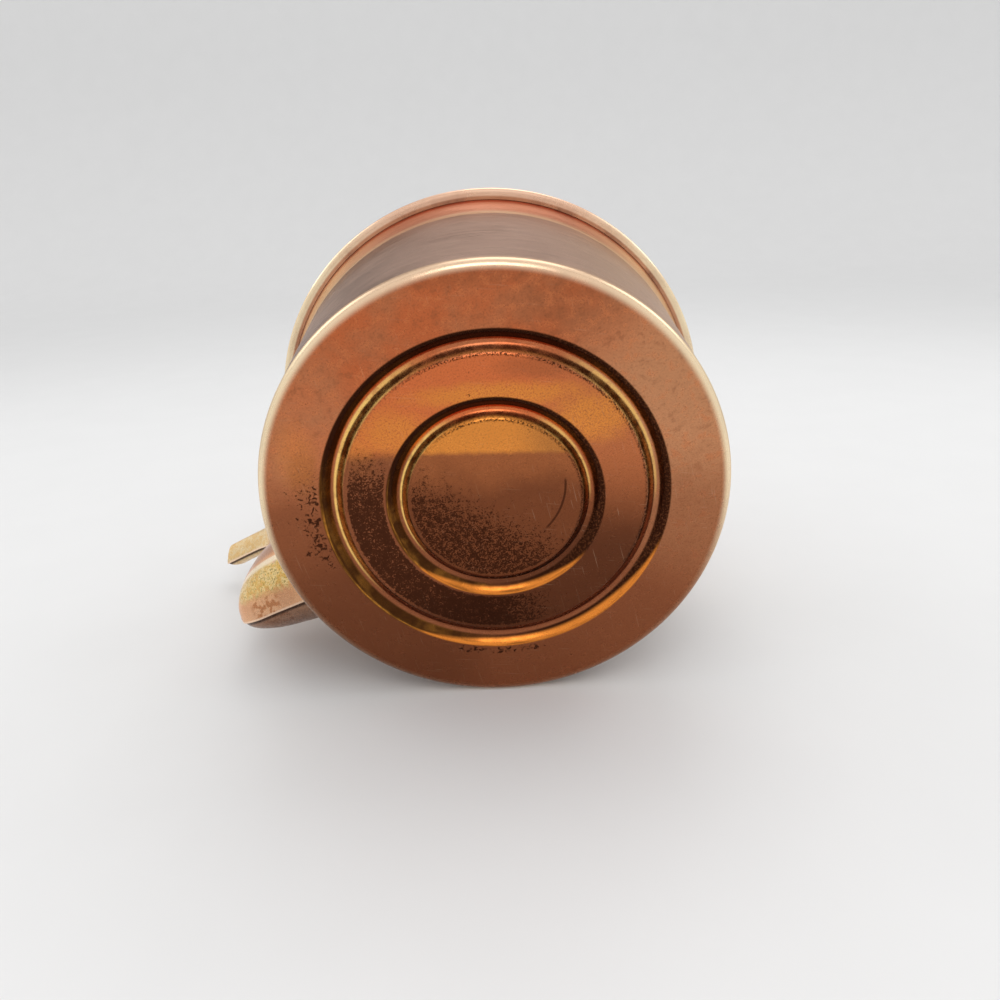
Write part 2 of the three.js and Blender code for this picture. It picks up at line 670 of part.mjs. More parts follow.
function grip() {
  const half = gripHalf - FERRULE_SHEET - SEAT;
  const tenon = GRIP_END_R - FERRULE_SHEET - SEAT;
  const shoulder = gripHalf - FERRULE_LENGTH - SEAT;
  const side = new THREE.SplineCurve([
    v2(GRIP_END_R, shoulder),
    v2(GRIP_END_R + GRIP_SWELL, shoulder * 0.8),
    v2(GRIP_MID_R - 0.3, shoulder * 0.4),
    v2(GRIP_MID_R, 0),
  ]).getPoints(5);
  const mirrored = side.slice(0, -1).map((p) => v2(p.x, -p.y));
  const bore = ROD_R + RUN;
  return turnedAboutX(
    [
      v2(bore, -half),
      v2(tenon, -half),
      v2(tenon, -shoulder),
      ...mirrored,
      ...side.reverse(),
      v2(tenon, shoulder),
      v2(tenon, half),
      v2(bore, half),
    ],
    18
  );
}

function ferrule(side) {
  const bore = ROD_R + RUN;
  const outline = [
    v2(bore, gripHalf - FERRULE_SHEET),
    v2(GRIP_END_R - FERRULE_SHEET, gripHalf - FERRULE_SHEET),
    v2(GRIP_END_R - FERRULE_SHEET, gripHalf - FERRULE_LENGTH),
    v2(GRIP_END_R, gripHalf - FERRULE_LENGTH),
    v2(GRIP_END_R, gripHalf - FERRULE_CHAMFER),
    v2(GRIP_END_R - FERRULE_CHAMFER, gripHalf),
    v2(bore, gripHalf),
  ];
  const handed = side < 0 ? outline.map((p) => v2(p.x, -p.y)).reverse() : outline;
  return turnedAboutX(handed, 18);
}

// Assembly

const kettle = new THREE.Group();

const body = new THREE.Group();
body.add(
  piece("pan", pan(), copper()),
  piece("dome", dome(), copper()),
  piece("neck_ring", neck(), copper()),
  piece("spout_left_half", spoutHalf(-1, SPOUT_LAP), copper()),
  piece("spout_right_half", spoutHalf(1, 0), copper())
);
for (const { ear: end, side } of earSpots) {
  body.add(piece(`ear_${end}`, ear(side), brass()));
  const pin = piece(`pivot_pin_${end}`, pivotPin(), brass());
  pin.position.set(side * earX, 0, pivotZ);
  pin.rotation.z = side < 0 ? Math.PI : 0;
  body.add(pin);
}
for (const { name, point, normal } of rivetSpots) {
  const shank = piece(name, rivet(), copper());
  shank.position.copy(point);
  shank.quaternion.setFromUnitVectors(v3(0, 0, 1), normal);
  body.add(shank);
}

const bail = new THREE.Group();
bail.position.z = pivotZ;
const gripAxis = new THREE.Group();
gripAxis.position.z = armRise;
for (const { ear: end, side } of earSpots) {
  bail.add(piece(`bail_strap_${end}`, arm(side), brass()));
  gripAxis.add(piece(`grip_ferrule_${end}`, ferrule(side), brass()));
}
gripAxis.add(piece("grip_rod", gripRod(), brass()), piece("grip", grip(), wood()));
bail.add(gripAxis);

const lid = new THREE.Group();
lid.position.z = lidSeatZ;
lid.add(
  piece("lid_dome", lidDome(), copper()),
  piece("lid_ring", lidRing(), copper()),
  piece("knob_plate", knobPlate(), brass()),
  piece("knob", knob(), wood()),
  piece("knob_screw", knobScrew(), brass())
);

kettle.add(body, bail, lid);

export default kettle;
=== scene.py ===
# Copper tea kettle: its looks, and the floor, light and camera around it.
# The kettle's sizes are in millimetres, and become metres where a mesh is made.
# Those of the table, the floor, the lamps and the camera are in metres.
import math

import bmesh
import bpy
import numpy as np
from mathutils import Matrix, Vector


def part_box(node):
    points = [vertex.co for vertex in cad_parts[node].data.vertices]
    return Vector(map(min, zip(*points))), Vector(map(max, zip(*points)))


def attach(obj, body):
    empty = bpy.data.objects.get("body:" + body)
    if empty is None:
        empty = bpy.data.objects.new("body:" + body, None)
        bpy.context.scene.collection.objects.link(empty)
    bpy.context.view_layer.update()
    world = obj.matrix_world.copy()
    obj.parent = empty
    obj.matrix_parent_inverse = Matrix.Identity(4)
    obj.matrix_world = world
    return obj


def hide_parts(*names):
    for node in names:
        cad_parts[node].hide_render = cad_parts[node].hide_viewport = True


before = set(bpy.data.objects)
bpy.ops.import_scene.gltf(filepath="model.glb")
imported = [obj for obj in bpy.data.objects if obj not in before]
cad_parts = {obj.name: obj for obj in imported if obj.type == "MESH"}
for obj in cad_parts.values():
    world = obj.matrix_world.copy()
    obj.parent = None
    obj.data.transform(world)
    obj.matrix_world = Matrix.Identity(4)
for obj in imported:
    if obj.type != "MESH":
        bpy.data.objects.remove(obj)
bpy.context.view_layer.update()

MM = 0.001

# Sizes of the body
SHEET = 1.0
SEAT = 0.3
BASE_FLAT_R = 85.0
BASE_CORNER = 3.5
BASE_CENTRE_R = 16.0
BASE_LOOK_Z = 1.2  # up to here, the corner has the base's material
WALL_FOOT_R = BASE_FLAT_R + BASE_CORNER
WALL_TOP_R = WALL_FOOT_R + 3.7
WALL_TOP_Z = 87.0
FLARE_R = WALL_TOP_R + 3.0
WALL_FILLET = 1.5
BEAD_Z = 107.2
BEAD_R = FLARE_R + 4.8
BEAD_PLAY = 0.4
BEAD_HALF = 1.5 * SHEET + BEAD_PLAY
CURL_END_R = FLARE_R + 0.15
CURL_END_INSIDE_R = FLARE_R + 0.7
OUTER_GROOVE = {"edge": BASE_FLAT_R - 19.4, "outer": 5.2, "inner": 4.6, "depth": 3.4}
INNER_GROOVE = {"edge": 41.0, "outer": 5.2, "inner": 3.8, "depth": 3.2}
DOME_RISE = 38.0
DOME_BEND = 1.2
DOME_FOOT_Z = BEAD_Z + BEAD_HALF

# Sizes of the neck and lid
NECK_BORE_R = 50.0
MOUTH_R = NECK_BORE_R + SHEET
NECK_FOOT = 6.5
NECK_BEND = 1.4
NECK_HEIGHT = 9.5
NECK_ROLL_R = 1.5
LID_R = NECK_BORE_R + 2 * NECK_ROLL_R + 2.4
LID_RISE = 13.0
LID_RIM_WIDTH = 6.0
LID_STEP = 2.5
LID_LIP = 2.2
LID_BOSS_R = 14.0
LID_RING = {"r": NECK_BORE_R - 0.7, "depth": 11.0, "tab": 3.5}
VENT = {"r": 1.6, "x": LID_R - 25.0}
KNOB = {"foot": 7.5, "waist": 5.8, "top": 13.5, "height": 24.0, "bore": 2.3, "bore_depth": 15.0}
PLATE_H = 1.8
PLATE_R = 11.5

# Sizes of the spout and handle
SPOUT_SHEET = 1.0
SPOUT_SEAM = 0.3
SPOUT_LAP = 0.8
LAP_WIDTH = 2.2
LAP_SIDEWAYS = 0.35
TIP_PINCH = {"from": 0.72, "length": 0.28, "by": 0.45}  # the first two are shares of the spout's sections
SPOUT_HOLE_INSET = 4.5
SPOUT_ROOT = 1
# Each row is one section: out and up of its underside, out and up of its upper side, and half its width
SPOUT_SECTIONS = [
    (-6.5, 11, -6.5, 69.5, 20),
    (6.5, 14.6, 7.5, 69.5, 19.6),
    (21.1, 19.6, 14.5, 72, 18.6),
    (34.8, 24.1, 19.3, 76, 16.3),
    (43.5, 30, 22.5, 81, 13.4),
    (46.4, 40, 24.7, 86.4, 11.2),
    (47.5, 55, 26.5, 91.6, 9.3),
    (47.3, 72, 28.3, 97, 7.8),
    (46.3, 87.4, 30.5, 103.3, 6.7),
    (46.5, 99, 34.1, 111.2, 6.2),
    (51.1, 107, 39.9, 119, 6.1),
    (57.9, 112, 49.1, 124.6, 6.1),
    (66.9, 115.4, 60.1, 128.3, 6.1),
    (84, 120.5, 73.9, 132.2, 6.2),
]
GRIP = {"half": 52.0, "mid": 11.5, "end": 8.0, "swell": 1.6, "ferrule": 9.0, "sheet": 0.8, "bore": 2.4}

# The photograph's camera: the kettle lies on its side, and the camera looks at its base
PHOTO = 1000
SENSOR_MM = 36
FOCAL_PX = 838.1
CAMERA_TILT = math.radians(26.05)  # between the line of sight and the kettle's axis
CAMERA_ROLL = math.radians(2.73)
CAMERA_DISTANCE = 0.31295
SPOUT_TURN = math.radians(31)  # from the picture's left down to the spout
BASE_CENTRE_PX = (495.9, 501.5)

# The photograph's right and up in the plane of the base, and the kettle's axis
photo_right = Vector((math.cos(SPOUT_TURN), math.sin(SPOUT_TURN), 0))
photo_up = Vector((math.sin(SPOUT_TURN), -math.cos(SPOUT_TURN), 0))
axis = Vector((0, 0, 1))


# Outlines, as lists of (radius, height) or (x, y) pairs


def arc(cx, cy, radius, start, end, steps):
    angles = np.radians(np.linspace(start, end, steps + 1))
    return [(cx + radius * math.cos(a), cy + radius * math.sin(a)) for a in angles]


def bezier(a, b, c, d, steps):
    t = np.linspace(0, 1, steps + 1)[:, None]
    a, b, c, d = map(np.array, (a, b, c, d))
    line = (1 - t) ** 3 * a + 3 * (1 - t) ** 2 * t * b + 3 * (1 - t) * t**2 * c + t**3 * d
    return [tuple(p) for p in line]


def smooth_line(points, steps):
    """A centripetal Catmull-Rom curve through the points, with that many steps between each two."""
    pts = np.array(points, float)
    pts = np.vstack([2 * pts[0] - pts[1], pts, 2 * pts[-1] - pts[-2]])
    made = []
    for p0, p1, p2, p3 in zip(pts, pts[1:], pts[2:], pts[3:]):
        t1 = np.linalg.norm(p1 - p0) ** 0.5
        t2 = t1 + np.linalg.norm(p2 - p1) ** 0.5
        t3 = t2 + np.linalg.norm(p3 - p2) ** 0.5
        for t in np.linspace(t1, t2, steps, endpoint=False):
            a1 = (t1 - t) / t1 * p0 + t / t1 * p1
            a2 = (t2 - t) / (t2 - t1) * p1 + (t - t1) / (t2 - t1) * p2
            a3 = (t3 - t) / (t3 - t2) * p2 + (t - t2) / (t3 - t2) * p3
            b1 = (t2 - t) / t2 * a1 + t / t2 * a2
            b2 = (t3 - t) / (t3 - t1) * a2 + (t - t1) / (t3 - t1) * a3
            made.append(tuple((t2 - t) / (t2 - t1) * b1 + (t - t1) / (t2 - t1) * b2))
    made.append(tuple(pts[-2]))
    return made


def moved_left(line, distance):
    """The line moved to its left by a sheet's thickness."""
    pts = np.array(line, float)
    steps = np.diff(pts, axis=0)
    steps /= np.linalg.norm(steps, axis=1)[:, None]
    before = np.vstack([steps[:1], steps])
    after = np.vstack([steps, steps[-1:]])
    bisector = np.column_stack([-(before[:, 1] + after[:, 1]), before[:, 0] + after[:, 0]])
    bisector /= np.linalg.norm(bisector, axis=1)[:, None]
    spread = (bisector * np.column_stack([-after[:, 1], after[:, 0]])).sum(1)
    moved = pts + bisector * (distance / spread)[:, None]
    moved[pts[:, 0] == 0, 0] = 0
    return [tuple(p) for p in moved]


# Meshes


def new_object(name, data):
    made = bpy.data.objects.new(name, data)
    bpy.context.scene.collection.objects.link(made)
    return made


def mesh_object(name, points, faces, indices=None):
    mesh = bpy.data.meshes.new(name)
    mesh.from_pydata([tuple(MM * c for c in p) for p in points], [], faces)
    if indices is not None:
        mesh.polygons.foreach_set("material_index", indices)
    mesh.polygons.foreach_set("use_smooth", [True] * len(mesh.polygons))
    mesh.validate()
    return new_object(name, mesh)


def turned(name, outline, sides=192, zones=None, along_x=False):
    """A closed outline of (radius, height), turned about Z or X.

    zones gives the material index of each of the outline's edges.
    """
    points, rings = [], []
    for r, z in outline:
        if r < 1e-6:
            rings.append([len(points)])
            points.append((0, 0, z))
            continue
        rings.append(range(len(points), len(points) + sides))
        for i in range(sides):
            a = 2 * math.pi * i / sides
            points.append((r * math.cos(a), r * math.sin(a), z))
    faces, indices = [], []
    for k, low in enumerate(rings):
        high = rings[(k + 1) % len(rings)]
        if len(low) == 1 and len(high) == 1:
            continue
        for i in range(sides):
            j = (i + 1) % sides
            if len(low) == 1:
                faces.append((low[0], high[j], high[i]))
            elif len(high) == 1:
                faces.append((low[i], low[j], high[0]))
            else:
                faces.append((low[i], low[j], high[j], high[i]))
            indices.append(zones[k] if zones else 0)
    if along_x:
        points = [(z, x, y) for x, y, z in points]
    made = mesh_object(name, points, faces, indices)
    face_out(made)
    return made


def face_out(made):
    """Turns the faces outward if the closed mesh is inside out."""
    mesh = made.data
    co = np.empty(len(mesh.vertices) * 3)
    mesh.vertices.foreach_get("co", co)
    co = co.reshape(-1, 3)
    mesh.calc_loop_triangles()
    tri = np.empty(len(mesh.loop_triangles) * 3, int)
    mesh.loop_triangles.foreach_get("vertices", tri)
    a, b, c = (co[tri.reshape(-1, 3)[:, k]] for k in range(3))
    if (a * np.cross(b, c)).sum() < 0:
        mesh.flip_normals()


def sharpen(made, degrees):
    made.data.set_sharp_from_angle(angle=math.radians(degrees))
    return made


def apply_modifiers(made):
    bpy.context.view_layer.update()
    graph = bpy.context.evaluated_depsgraph_get()
    baked = bpy.data.meshes.new_from_object(made.evaluated_get(graph))
    made.modifiers.clear()
    made.data = baked


def cut(made, *cutters):
    """Cuts closed meshes out of a piece and deletes them."""
    for cutter in cutters:
        change = made.modifiers.new("cut", "BOOLEAN")
        change.operation = "DIFFERENCE"
        change.solver = "EXACT"
        change.object = cutter
        apply_modifiers(made)
        bpy.data.objects.remove(cutter)


# Copper body


def groove(edge, outer, inner, depth, steps=20):
    """From the groove's inner edge out to its outer edge."""
    share = np.linspace(-1, 1, 2 * steps + 1)
    reach = np.where(share < 0, inner, outer)
    radius = edge - outer + share * reach
    return list(zip(radius, depth * (1 + np.cos(math.pi * share)) / 2))


def wall_line():
    lean = math.degrees(math.atan2(WALL_TOP_R - WALL_FOOT_R, WALL_TOP_Z - BASE_CORNER))
    corner = arc(BASE_FLAT_R, BASE_CORNER, BASE_CORNER, -90, -lean, 12)
    top = (FLARE_R, BEAD_Z - SHEET / 2 - WALL_FILLET)
    rise = top[1] - WALL_TOP_Z
    slope = (WALL_TOP_R - WALL_FOOT_R) / (WALL_TOP_Z - BASE_CORNER)
    knee = (WALL_TOP_R + slope * rise / 3, WALL_TOP_Z + rise / 3)
    flare = bezier((WALL_TOP_R, WALL_TOP_Z), knee, (top[0] - 1.2, top[1] - rise / 3), top, 10)
    straight = [(WALL_FOOT_R + slope * z, BASE_CORNER + z) for z in np.arange(8, 82, 8)]
    return corner + straight + flare


def make_pan():
    base = [(0, 0), (BASE_CENTRE_R, 0), *groove(**INNER_GROOVE), *groove(**OUTER_GROOVE)]
    wall = wall_line()
    fillet = arc(FLARE_R + WALL_FILLET, wall[-1][1], WALL_FILLET, 180, 90, 6)[1:]
    line = base + wall + fillet + [(BEAD_R - SHEET - BEAD_PLAY, BEAD_Z - SHEET / 2)]
    inside = moved_left(line, SHEET)[::-1]
    edges = [0 if z < BASE_LOOK_Z and r < WALL_FOOT_R else 1 for r, z in wall]
    zones = [0] * len(base) + edges + [1] * (len(line) - len(base) - len(wall)) + [2] * len(inside)
    pan = turned("pan_body", line + inside, zones=zones)
    _, low, _, high, half = SPOUT_SECTIONS[SPOUT_ROOT]
    tall = (high - low) / 2 - SPOUT_HOLE_INSET
    oval = [
        ((half - SPOUT_HOLE_INSET) * math.cos(a), (low + high) / 2 + tall * math.sin(a))
        for a in np.linspace(0, 2 * math.pi, 64, endpoint=False)
    ]
    near, far = -WALL_FOOT_R * 1.3, -WALL_FOOT_R * 0.6
    points = [(near, y, z) for y, z in oval] + [(far, y, z) for y, z in oval]
    n = len(oval)
    sides = [(i, (i + 1) % n, n + (i + 1) % n, n + i) for i in range(n)]
    cutter = mesh_object("cutter", points, sides + [tuple(range(n)), tuple(range(n, 2 * n))])
    face_out(cutter)
    cut(pan, cutter)
    return sharpen(pan, 32)


def dome_z(r):
    return DOME_FOOT_Z + DOME_RISE * math.sqrt(1 - (r / FLARE_R) ** 2)


def make_dome():
    last = math.asin(1.6 * DOME_BEND / DOME_RISE)
    crown = [
        (FLARE_R * math.cos(a), DOME_FOOT_Z + DOME_RISE * math.sin(a))
        for a in np.linspace(math.acos(MOUTH_R / FLARE_R), last, 36)
    ]
    bend = arc(FLARE_R + DOME_BEND, DOME_FOOT_Z + DOME_BEND, DOME_BEND, 205, 270, 5)
    bead = arc(BEAD_R - BEAD_HALF, BEAD_Z, BEAD_HALF, 90, -90, 16)
    line = [*crown, *bend, *bead, (CURL_END_R, BEAD_Z - BEAD_HALF)][::-1]
    inside = moved_left(line, SHEET)[::-1]
    inside[-1] = (CURL_END_INSIDE_R, inside[-1][1])
    return sharpen(turned("dome_shell", line + inside, zones=[0] * len(line) + [1] * len(inside)), 50)


def make_neck():
    foot = MOUTH_R + NECK_FOOT
    low = [(r, dome_z(r) + SEAT) for r in np.linspace(MOUTH_R, foot, 5)]
    high = [(r, dome_z(r) + SEAT + SHEET) for r in np.linspace(foot, MOUTH_R + NECK_BEND, 5)]
    rim_z = dome_z(MOUTH_R) + NECK_HEIGHT
    seat_z = dome_z(MOUTH_R) + SEAT + SHEET
    bend_end = (MOUTH_R, seat_z + NECK_BEND)
    bend = bezier(high[-1], (MOUTH_R + 0.4, seat_z), (MOUTH_R, seat_z + 0.6), bend_end, 5)
    roll = arc(NECK_BORE_R + NECK_ROLL_R, rim_z, NECK_ROLL_R, -110, 180, 24)
    bore = [(NECK_BORE_R, dome_z(MOUTH_R) + SEAT)]
    return sharpen(turned("neck_collar", [*bore, *low, *high, *bend[1:], *roll]), 40)


# Spout


def wall_cutter(gap):
    wall = [(r + gap, z) for r, z in wall_line()]
    return turned("cutter", [(0, -1), (BASE_FLAT_R, -1), *wall, (0, wall[-1][1])])


def make_spout_half(name, hand, lap, sides=28, steps=5):
    """One pressed half. Its seam edges are rolled up by "lap" over a short width."""
    points, faces = [], []
    loops = smooth_line(SPOUT_SECTIONS, steps)
    for k, (under_out, low, over_out, high, half) in enumerate(loops):
        pinch = 1 + TIP_PINCH["by"] * max(0.0, k / len(loops) - TIP_PINCH["from"]) / TIP_PINCH["length"]
        under = np.array([under_out, low], float)
        over = np.array([over_out, high], float)
        middle, tall = (under + over) / 2, np.linalg.norm(under - over) / 2
        down = (under - middle) / tall
        for inset, edge in ((0, lap), (SPOUT_SHEET, 0)):
            ring = []
            for a in np.linspace(0, math.pi, sides + 1):
                x, w = math.copysign(abs(math.cos(a)) ** pinch, math.cos(a)), math.sin(a) ** pinch
                seam = max(0.0, 1 - (tall * w * half / max(tall, half)) / LAP_WIDTH) ** 0.5 if edge else 0
                reach = (tall - inset + edge * seam) * x
                y = SPOUT_SEAM / 2 + (half - inset + LAP_SIDEWAYS * edge * seam) * w
                out = WALL_FOOT_R + middle[0] + down[0] * reach
                ring.append((-out, hand * y, middle[1] + down[1] * reach))
            points += ring if inset == 0 else ring[::-1]
    n = 2 * (sides + 1)
    count = len(loops)
    for s in range(count - 1):
        for i in range(n):
            j = (i + 1) % n
            faces.append((s * n + i, s * n + j, (s + 1) * n + j, (s + 1) * n + i))
    for s in (0, count - 1):
        for i in range(sides):
            faces.append((s * n + i, s * n + i + 1, s * n + n - 2 - i, s * n + n - 1 - i))
    half_shell = mesh_object(name, points, faces)
    fix_normals(half_shell)
    cut(half_shell, wall_cutter(SEAT))
    return sharpen(half_shell, 38)


def fix_normals(made):
    bm = bmesh.new()
    bm.from_mesh(made.data)
    bmesh.ops.recalc_face_normals(bm, faces=bm.faces)
    bm.to_mesh(made.data)
    bm.free()


# Lid, knob and grip

LID_Z = dome_z(MOUTH_R) + NECK_HEIGHT + NECK_ROLL_R
CROWN_Z = LID_Z + SEAT + SHEET + LID_RISE


def make_lid():
    inner, top = LID_R - LID_RIM_WIDTH, SEAT + SHEET
    width, rise = inner - LID_BOSS_R, LID_RISE - LID_STEP
    crown = [
        (LID_BOSS_R + width * share, top + LID_STEP + rise * math.cos(share * math.pi / 2) ** 0.9)
        for share in np.linspace(0, 1, 30)[:-1]
    ]
    foot = (inner + 1.6, top)
    step = bezier((inner, top + LID_STEP), (inner + 0.3, top + 1.2), (inner + 0.4, top + 0.2), foot, 6)
    edge = arc(LID_R - 1.1, top - 1.1, 1.1, 90, 0, 6)
    line = [(0, top + LID_RISE), *crown, *step, *edge, (LID_R, -LID_LIP)][::-1]
    line = [(r, LID_Z + z) for r, z in line]
    inside = moved_left(line, SHEET)[::-1]
    lid = turned("lid_shell", line + inside, zones=[0] * len(line) + [1] * len(inside))
    holes = []
    low, high = LID_Z - 5, CROWN_Z + 9
    for x, radius in ((VENT["x"], VENT["r"]), (0, KNOB["bore"])):
        hole = turned("cutter", [(0, low), (radius, low), (radius, high), (0, high)], 32)
        hole.location.x = x * MM
        holes.append(hole)
    cut(lid, *holes)
    return sharpen(lid, 40)


def make_lid_ring():
    outer, low = LID_RING["r"], LID_Z - LID_RING["depth"]
    tab = outer - LID_RING["tab"]
    outline = [
        (outer - SHEET, low),
        (outer, low),
        *arc(outer - 0.8, LID_Z - 0.8, 0.8, 0, 90, 5),
        (tab, LID_Z),
        (tab, LID_Z - SHEET),
        (outer - SHEET, LID_Z - SHEET),
    ]
    return sharpen(turned("lid_collar", outline), 40)


def make_knob():
    foot = CROWN_Z + 0.2 + PLATE_H
    high, waist, top = KNOB["height"], KNOB["waist"], KNOB["top"]
    shape = [
        (KNOB["foot"], 0),
        (KNOB["foot"] - 0.1, 1.4),
        (waist + 0.1, high * 0.2),
        (waist + 0.5, high * 0.34),
        (waist + 2.4, high * 0.46),
        (top - 1.6, high * 0.6),
        (top, high * 0.73),
        (top - 0.8, high * 0.86),
        (top * 0.66, high * 0.96),
        (4.5, high * 0.995),
        (0, high),
    ]
    side = [(r, foot + z) for r, z in smooth_line(shape, 6)]
    bore_top = foot + KNOB["bore_depth"]
    outline = [(0, bore_top), (KNOB["bore"], bore_top), (KNOB["bore"], foot), *side[:-1], (0, foot + high)]
    return sharpen(turned("knob_turning", outline, 96), 40)


def make_knob_plate():
    low = CROWN_Z + 0.1
    outline = [
        (KNOB["bore"], low),
        (PLATE_R, low),
        *arc(PLATE_R - 0.4, low + 0.4, 0.4, 0, 60, 3)[1:],
        (PLATE_R - 1.6, low + 1.3),
        (PLATE_R - 2.0, low + 1.7),
        (PLATE_R - 3.3, low + PLATE_H),
        (KNOB["bore"], low + PLATE_H),
    ]
    return sharpen(turned("knob_rose", outline, 96), 25)


def grip_axis_z():
    low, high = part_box("grip_rod")
    return (low.z + high.z) / 2 / MM


def make_grip():
    half = GRIP["half"] - GRIP["sheet"] - SEAT
    end = GRIP["end"]
    tenon = end - GRIP["sheet"] - SEAT
    shoulder = GRIP["half"] - GRIP["ferrule"] - SEAT
    swell = end + GRIP["swell"]
    side = smooth_line(
        [
            (end + 0.2, -shoulder),
            (end + 0.9, -shoulder + 0.9),
            (swell, -shoulder * 0.86),
            (swell - 0.1, -shoulder * 0.76),
            (swell + 0.6, -shoulder * 0.6),
            (GRIP["mid"] - 0.35, -shoulder * 0.35),
            (GRIP["mid"], 0),
        ],
        8,
    )
    # Two turned lines near each end
    for share in (0.9, 0.82):
        near = min(range(len(side)), key=lambda k: abs(side[k][1] + shoulder * share))
        side[near] = (side[near][0] - 0.35, side[near][1])
    mirrored = [(r, -x) for r, x in side[:-1]][::-1]
    outline = [(GRIP["bore"], -half), (tenon, -half), (tenon, -shoulder), *side, *mirrored]
    outline += [(tenon, shoulder), (tenon, half), (GRIP["bore"], half)]
    return sharpen(turned("grip_turning", outline, 96, along_x=True), 40)


def make_ferrule(name, side):
    bore, end, half = GRIP["bore"], GRIP["end"], GRIP["half"]
    mouth = half - GRIP["ferrule"]
    outline = [
        (bore, half - GRIP["sheet"]),
        (end - GRIP["sheet"], half - GRIP["sheet"]),
        (end - GRIP["sheet"], mouth),
        (end, mouth),
        (end, mouth + 1.2),
        (end - 0.3, mouth + 1.5),
        (end - 0.3, mouth + 2.0),
        (end, mouth + 2.3),
        *arc(end - 1.2, half - 1.2, 1.2, 0, 90, 6),
        (bore, half),
    ]
    return sharpen(turned(name, [(r, side * x) for r, x in outline], 96, along_x=True), 35)


# Materials. Colours are linear, and places are the object's own, in millimetres.


class Finish:
    """One material, with a short call for each kind of node that the finishes use."""

    def __init__(self, name, metallic, roughness):
        self.material = bpy.data.materials.new(name)
        self.material.use_nodes = True
        self.nodes = self.material.node_tree.nodes
        self.links = self.material.node_tree.links
        self.shader = self.nodes["Principled BSDF"]
        self.colour = None
        self.shader.inputs["Metallic"].default_value = metallic
        self.shader.inputs["Roughness"].default_value = roughness
        coords = self.make("ShaderNodeTexCoord", output="Object")
        self.place = self.vector("MULTIPLY", coords, (1 / MM,) * 3)

    def make(self, kind, inputs=(), output=0, **settings):
        node = self.nodes.new(kind)
        for key, setting in settings.items():
            setattr(node, key, setting)
        for key, value in dict(inputs).items():
            self.feed(node.inputs[key], value)
        return node.outputs[output]

    def feed(self, socket, value):
        if isinstance(value, bpy.types.NodeSocket):
            self.links.new(value, socket)
        elif isinstance(value, tuple) and socket.type == "RGBA":
            socket.default_value = (*value, 1)
        else:
            socket.default_value = value

    def vector(self, operation, a, b=(0, 0, 0)):
        output = "Value" if operation in ("DOT_PRODUCT", "LENGTH") else "Vector"
        return self.make("ShaderNodeVectorMath", {0: a, 1: b}, output, operation=operation)

    def math(self, operation, a, b=0.0):
        return self.make("ShaderNodeMath", {0: a, 1: b}, operation=operation)

    def step(self, value, low, high, start=0.0, end=1.0):
        """From start to end, smoothly, as the value goes from low to high."""
        inputs = {"Value": value, "From Min": low, "From Max": high, "To Min": start, "To Max": end}
        return self.make("ShaderNodeMapRange", inputs, interpolation_type="SMOOTHSTEP")

    def noise(self, scale, detail=4.0, roughness=0.55, vector=None, distortion=0.0):
        inputs = {"Scale": scale, "Detail": detail, "Roughness": roughness, "Distortion": distortion}
        inputs["Vector"] = self.place if vector is None else vector
        return self.make("ShaderNodeTexNoise", inputs)

    def mix(self, share, a, b):
        return self.make("ShaderNodeMix", {0: share, 6: a, 7: b}, 2, data_type="RGBA")

    def lay(self, share, tint):
        """Lays a share of that tint over the colour so far."""
        self.colour = self.mix(share, self.colour, tint)

    def fold(self, operation, values):
        made = values[0]
        for value in values[1:]:
            made = self.math(operation, made, value)
        return made

    def product(self, *values):
        return self.fold("MULTIPLY", values)

    def total(self, *values):
        return self.fold("ADD", values)

    def largest(self, *values):
        return self.fold("MAXIMUM", values)

    def centred(self, value):
        """The value less a half, so that a noise lies about zero."""
        return self.math("SUBTRACT", value, 0.5)

    def along(self, way):
        return self.vector("DOT_PRODUCT", self.place, tuple(way))

    def flat(self):
        """The place, laid into the plane of the base."""
        return self.vector("MULTIPLY", self.place, (1, 1, 0))

    def radius(self):
        return self.vector("LENGTH", self.flat())

    def round_streaks(self, fine, long_by=1.0, detail=3.0):
        """Streaks that run round the Z axis: fine gives their lines per millimetre of height and radius."""
        turn = self.vector("SCALE", self.vector("NORMALIZE", self.flat()))
        turn.node.inputs["Scale"].default_value = 3.0 / long_by
        across = self.total(self.product(self.along(axis), fine), self.product(self.radius(), fine))
        lift = self.make("ShaderNodeCombineXYZ", {2: across})
        return self.noise(1.0, detail, 0.6, self.vector("ADD", turn, lift))

    def bump(self, *layers):
        """Each layer is a height and its distance in millimetres."""
        normal = None
        for height, distance in layers:
            inputs = {"Height": height, "Distance": distance * MM, "Strength": 1.0}
            if normal:
                inputs["Normal"] = normal
            normal = self.make("ShaderNodeBump", inputs)
        self.links.new(normal, self.shader.inputs["Normal"])

    def finish(self, roughness=None):
        self.feed(self.shader.inputs["Base Color"], self.colour)
        if roughness is not None:
            self.feed(self.shader.inputs["Roughness"], roughness)
        return self.material


ORANGE = (0.53, 0.135, 0.048)
TAN = (0.56, 0.250, 0.120)
BROWN = (0.27, 0.088, 0.038)
DEEP = (0.125, 0.040, 0.018)
GOLD = (0.76, 0.270, 0.052)
AMBER = (0.78, 0.245, 0.038)
YELLOW = (0.97, 0.600, 0.180)
SOOT = (0.032, 0.009, 0.004)
RIM = (0.86, 0.620, 0.420)
CREAM = (1.00, 0.820, 0.550)
FLARE = (0.86, 0.640, 0.440)

# Rings on the base, from the inner to the outer share of its radius: in the outer groove, then in the inner
GROOVE_SHOULDERS = ((0.632, 0.645), (0.360, 0.372))
GROOVE_SLOPES = ((0.645, 0.657), (0.372, 0.384))
GROOVE_VALLEYS = ((0.645, 0.686), (0.374, 0.406))
GROOVE_WALLS = ((0.698, 0.741), (0.420, 0.4635))
# These rings hold painted golden glints near each groove's outer edge
GLINT_LINES = ((0.730, 0.738), (0.453, 0.461))
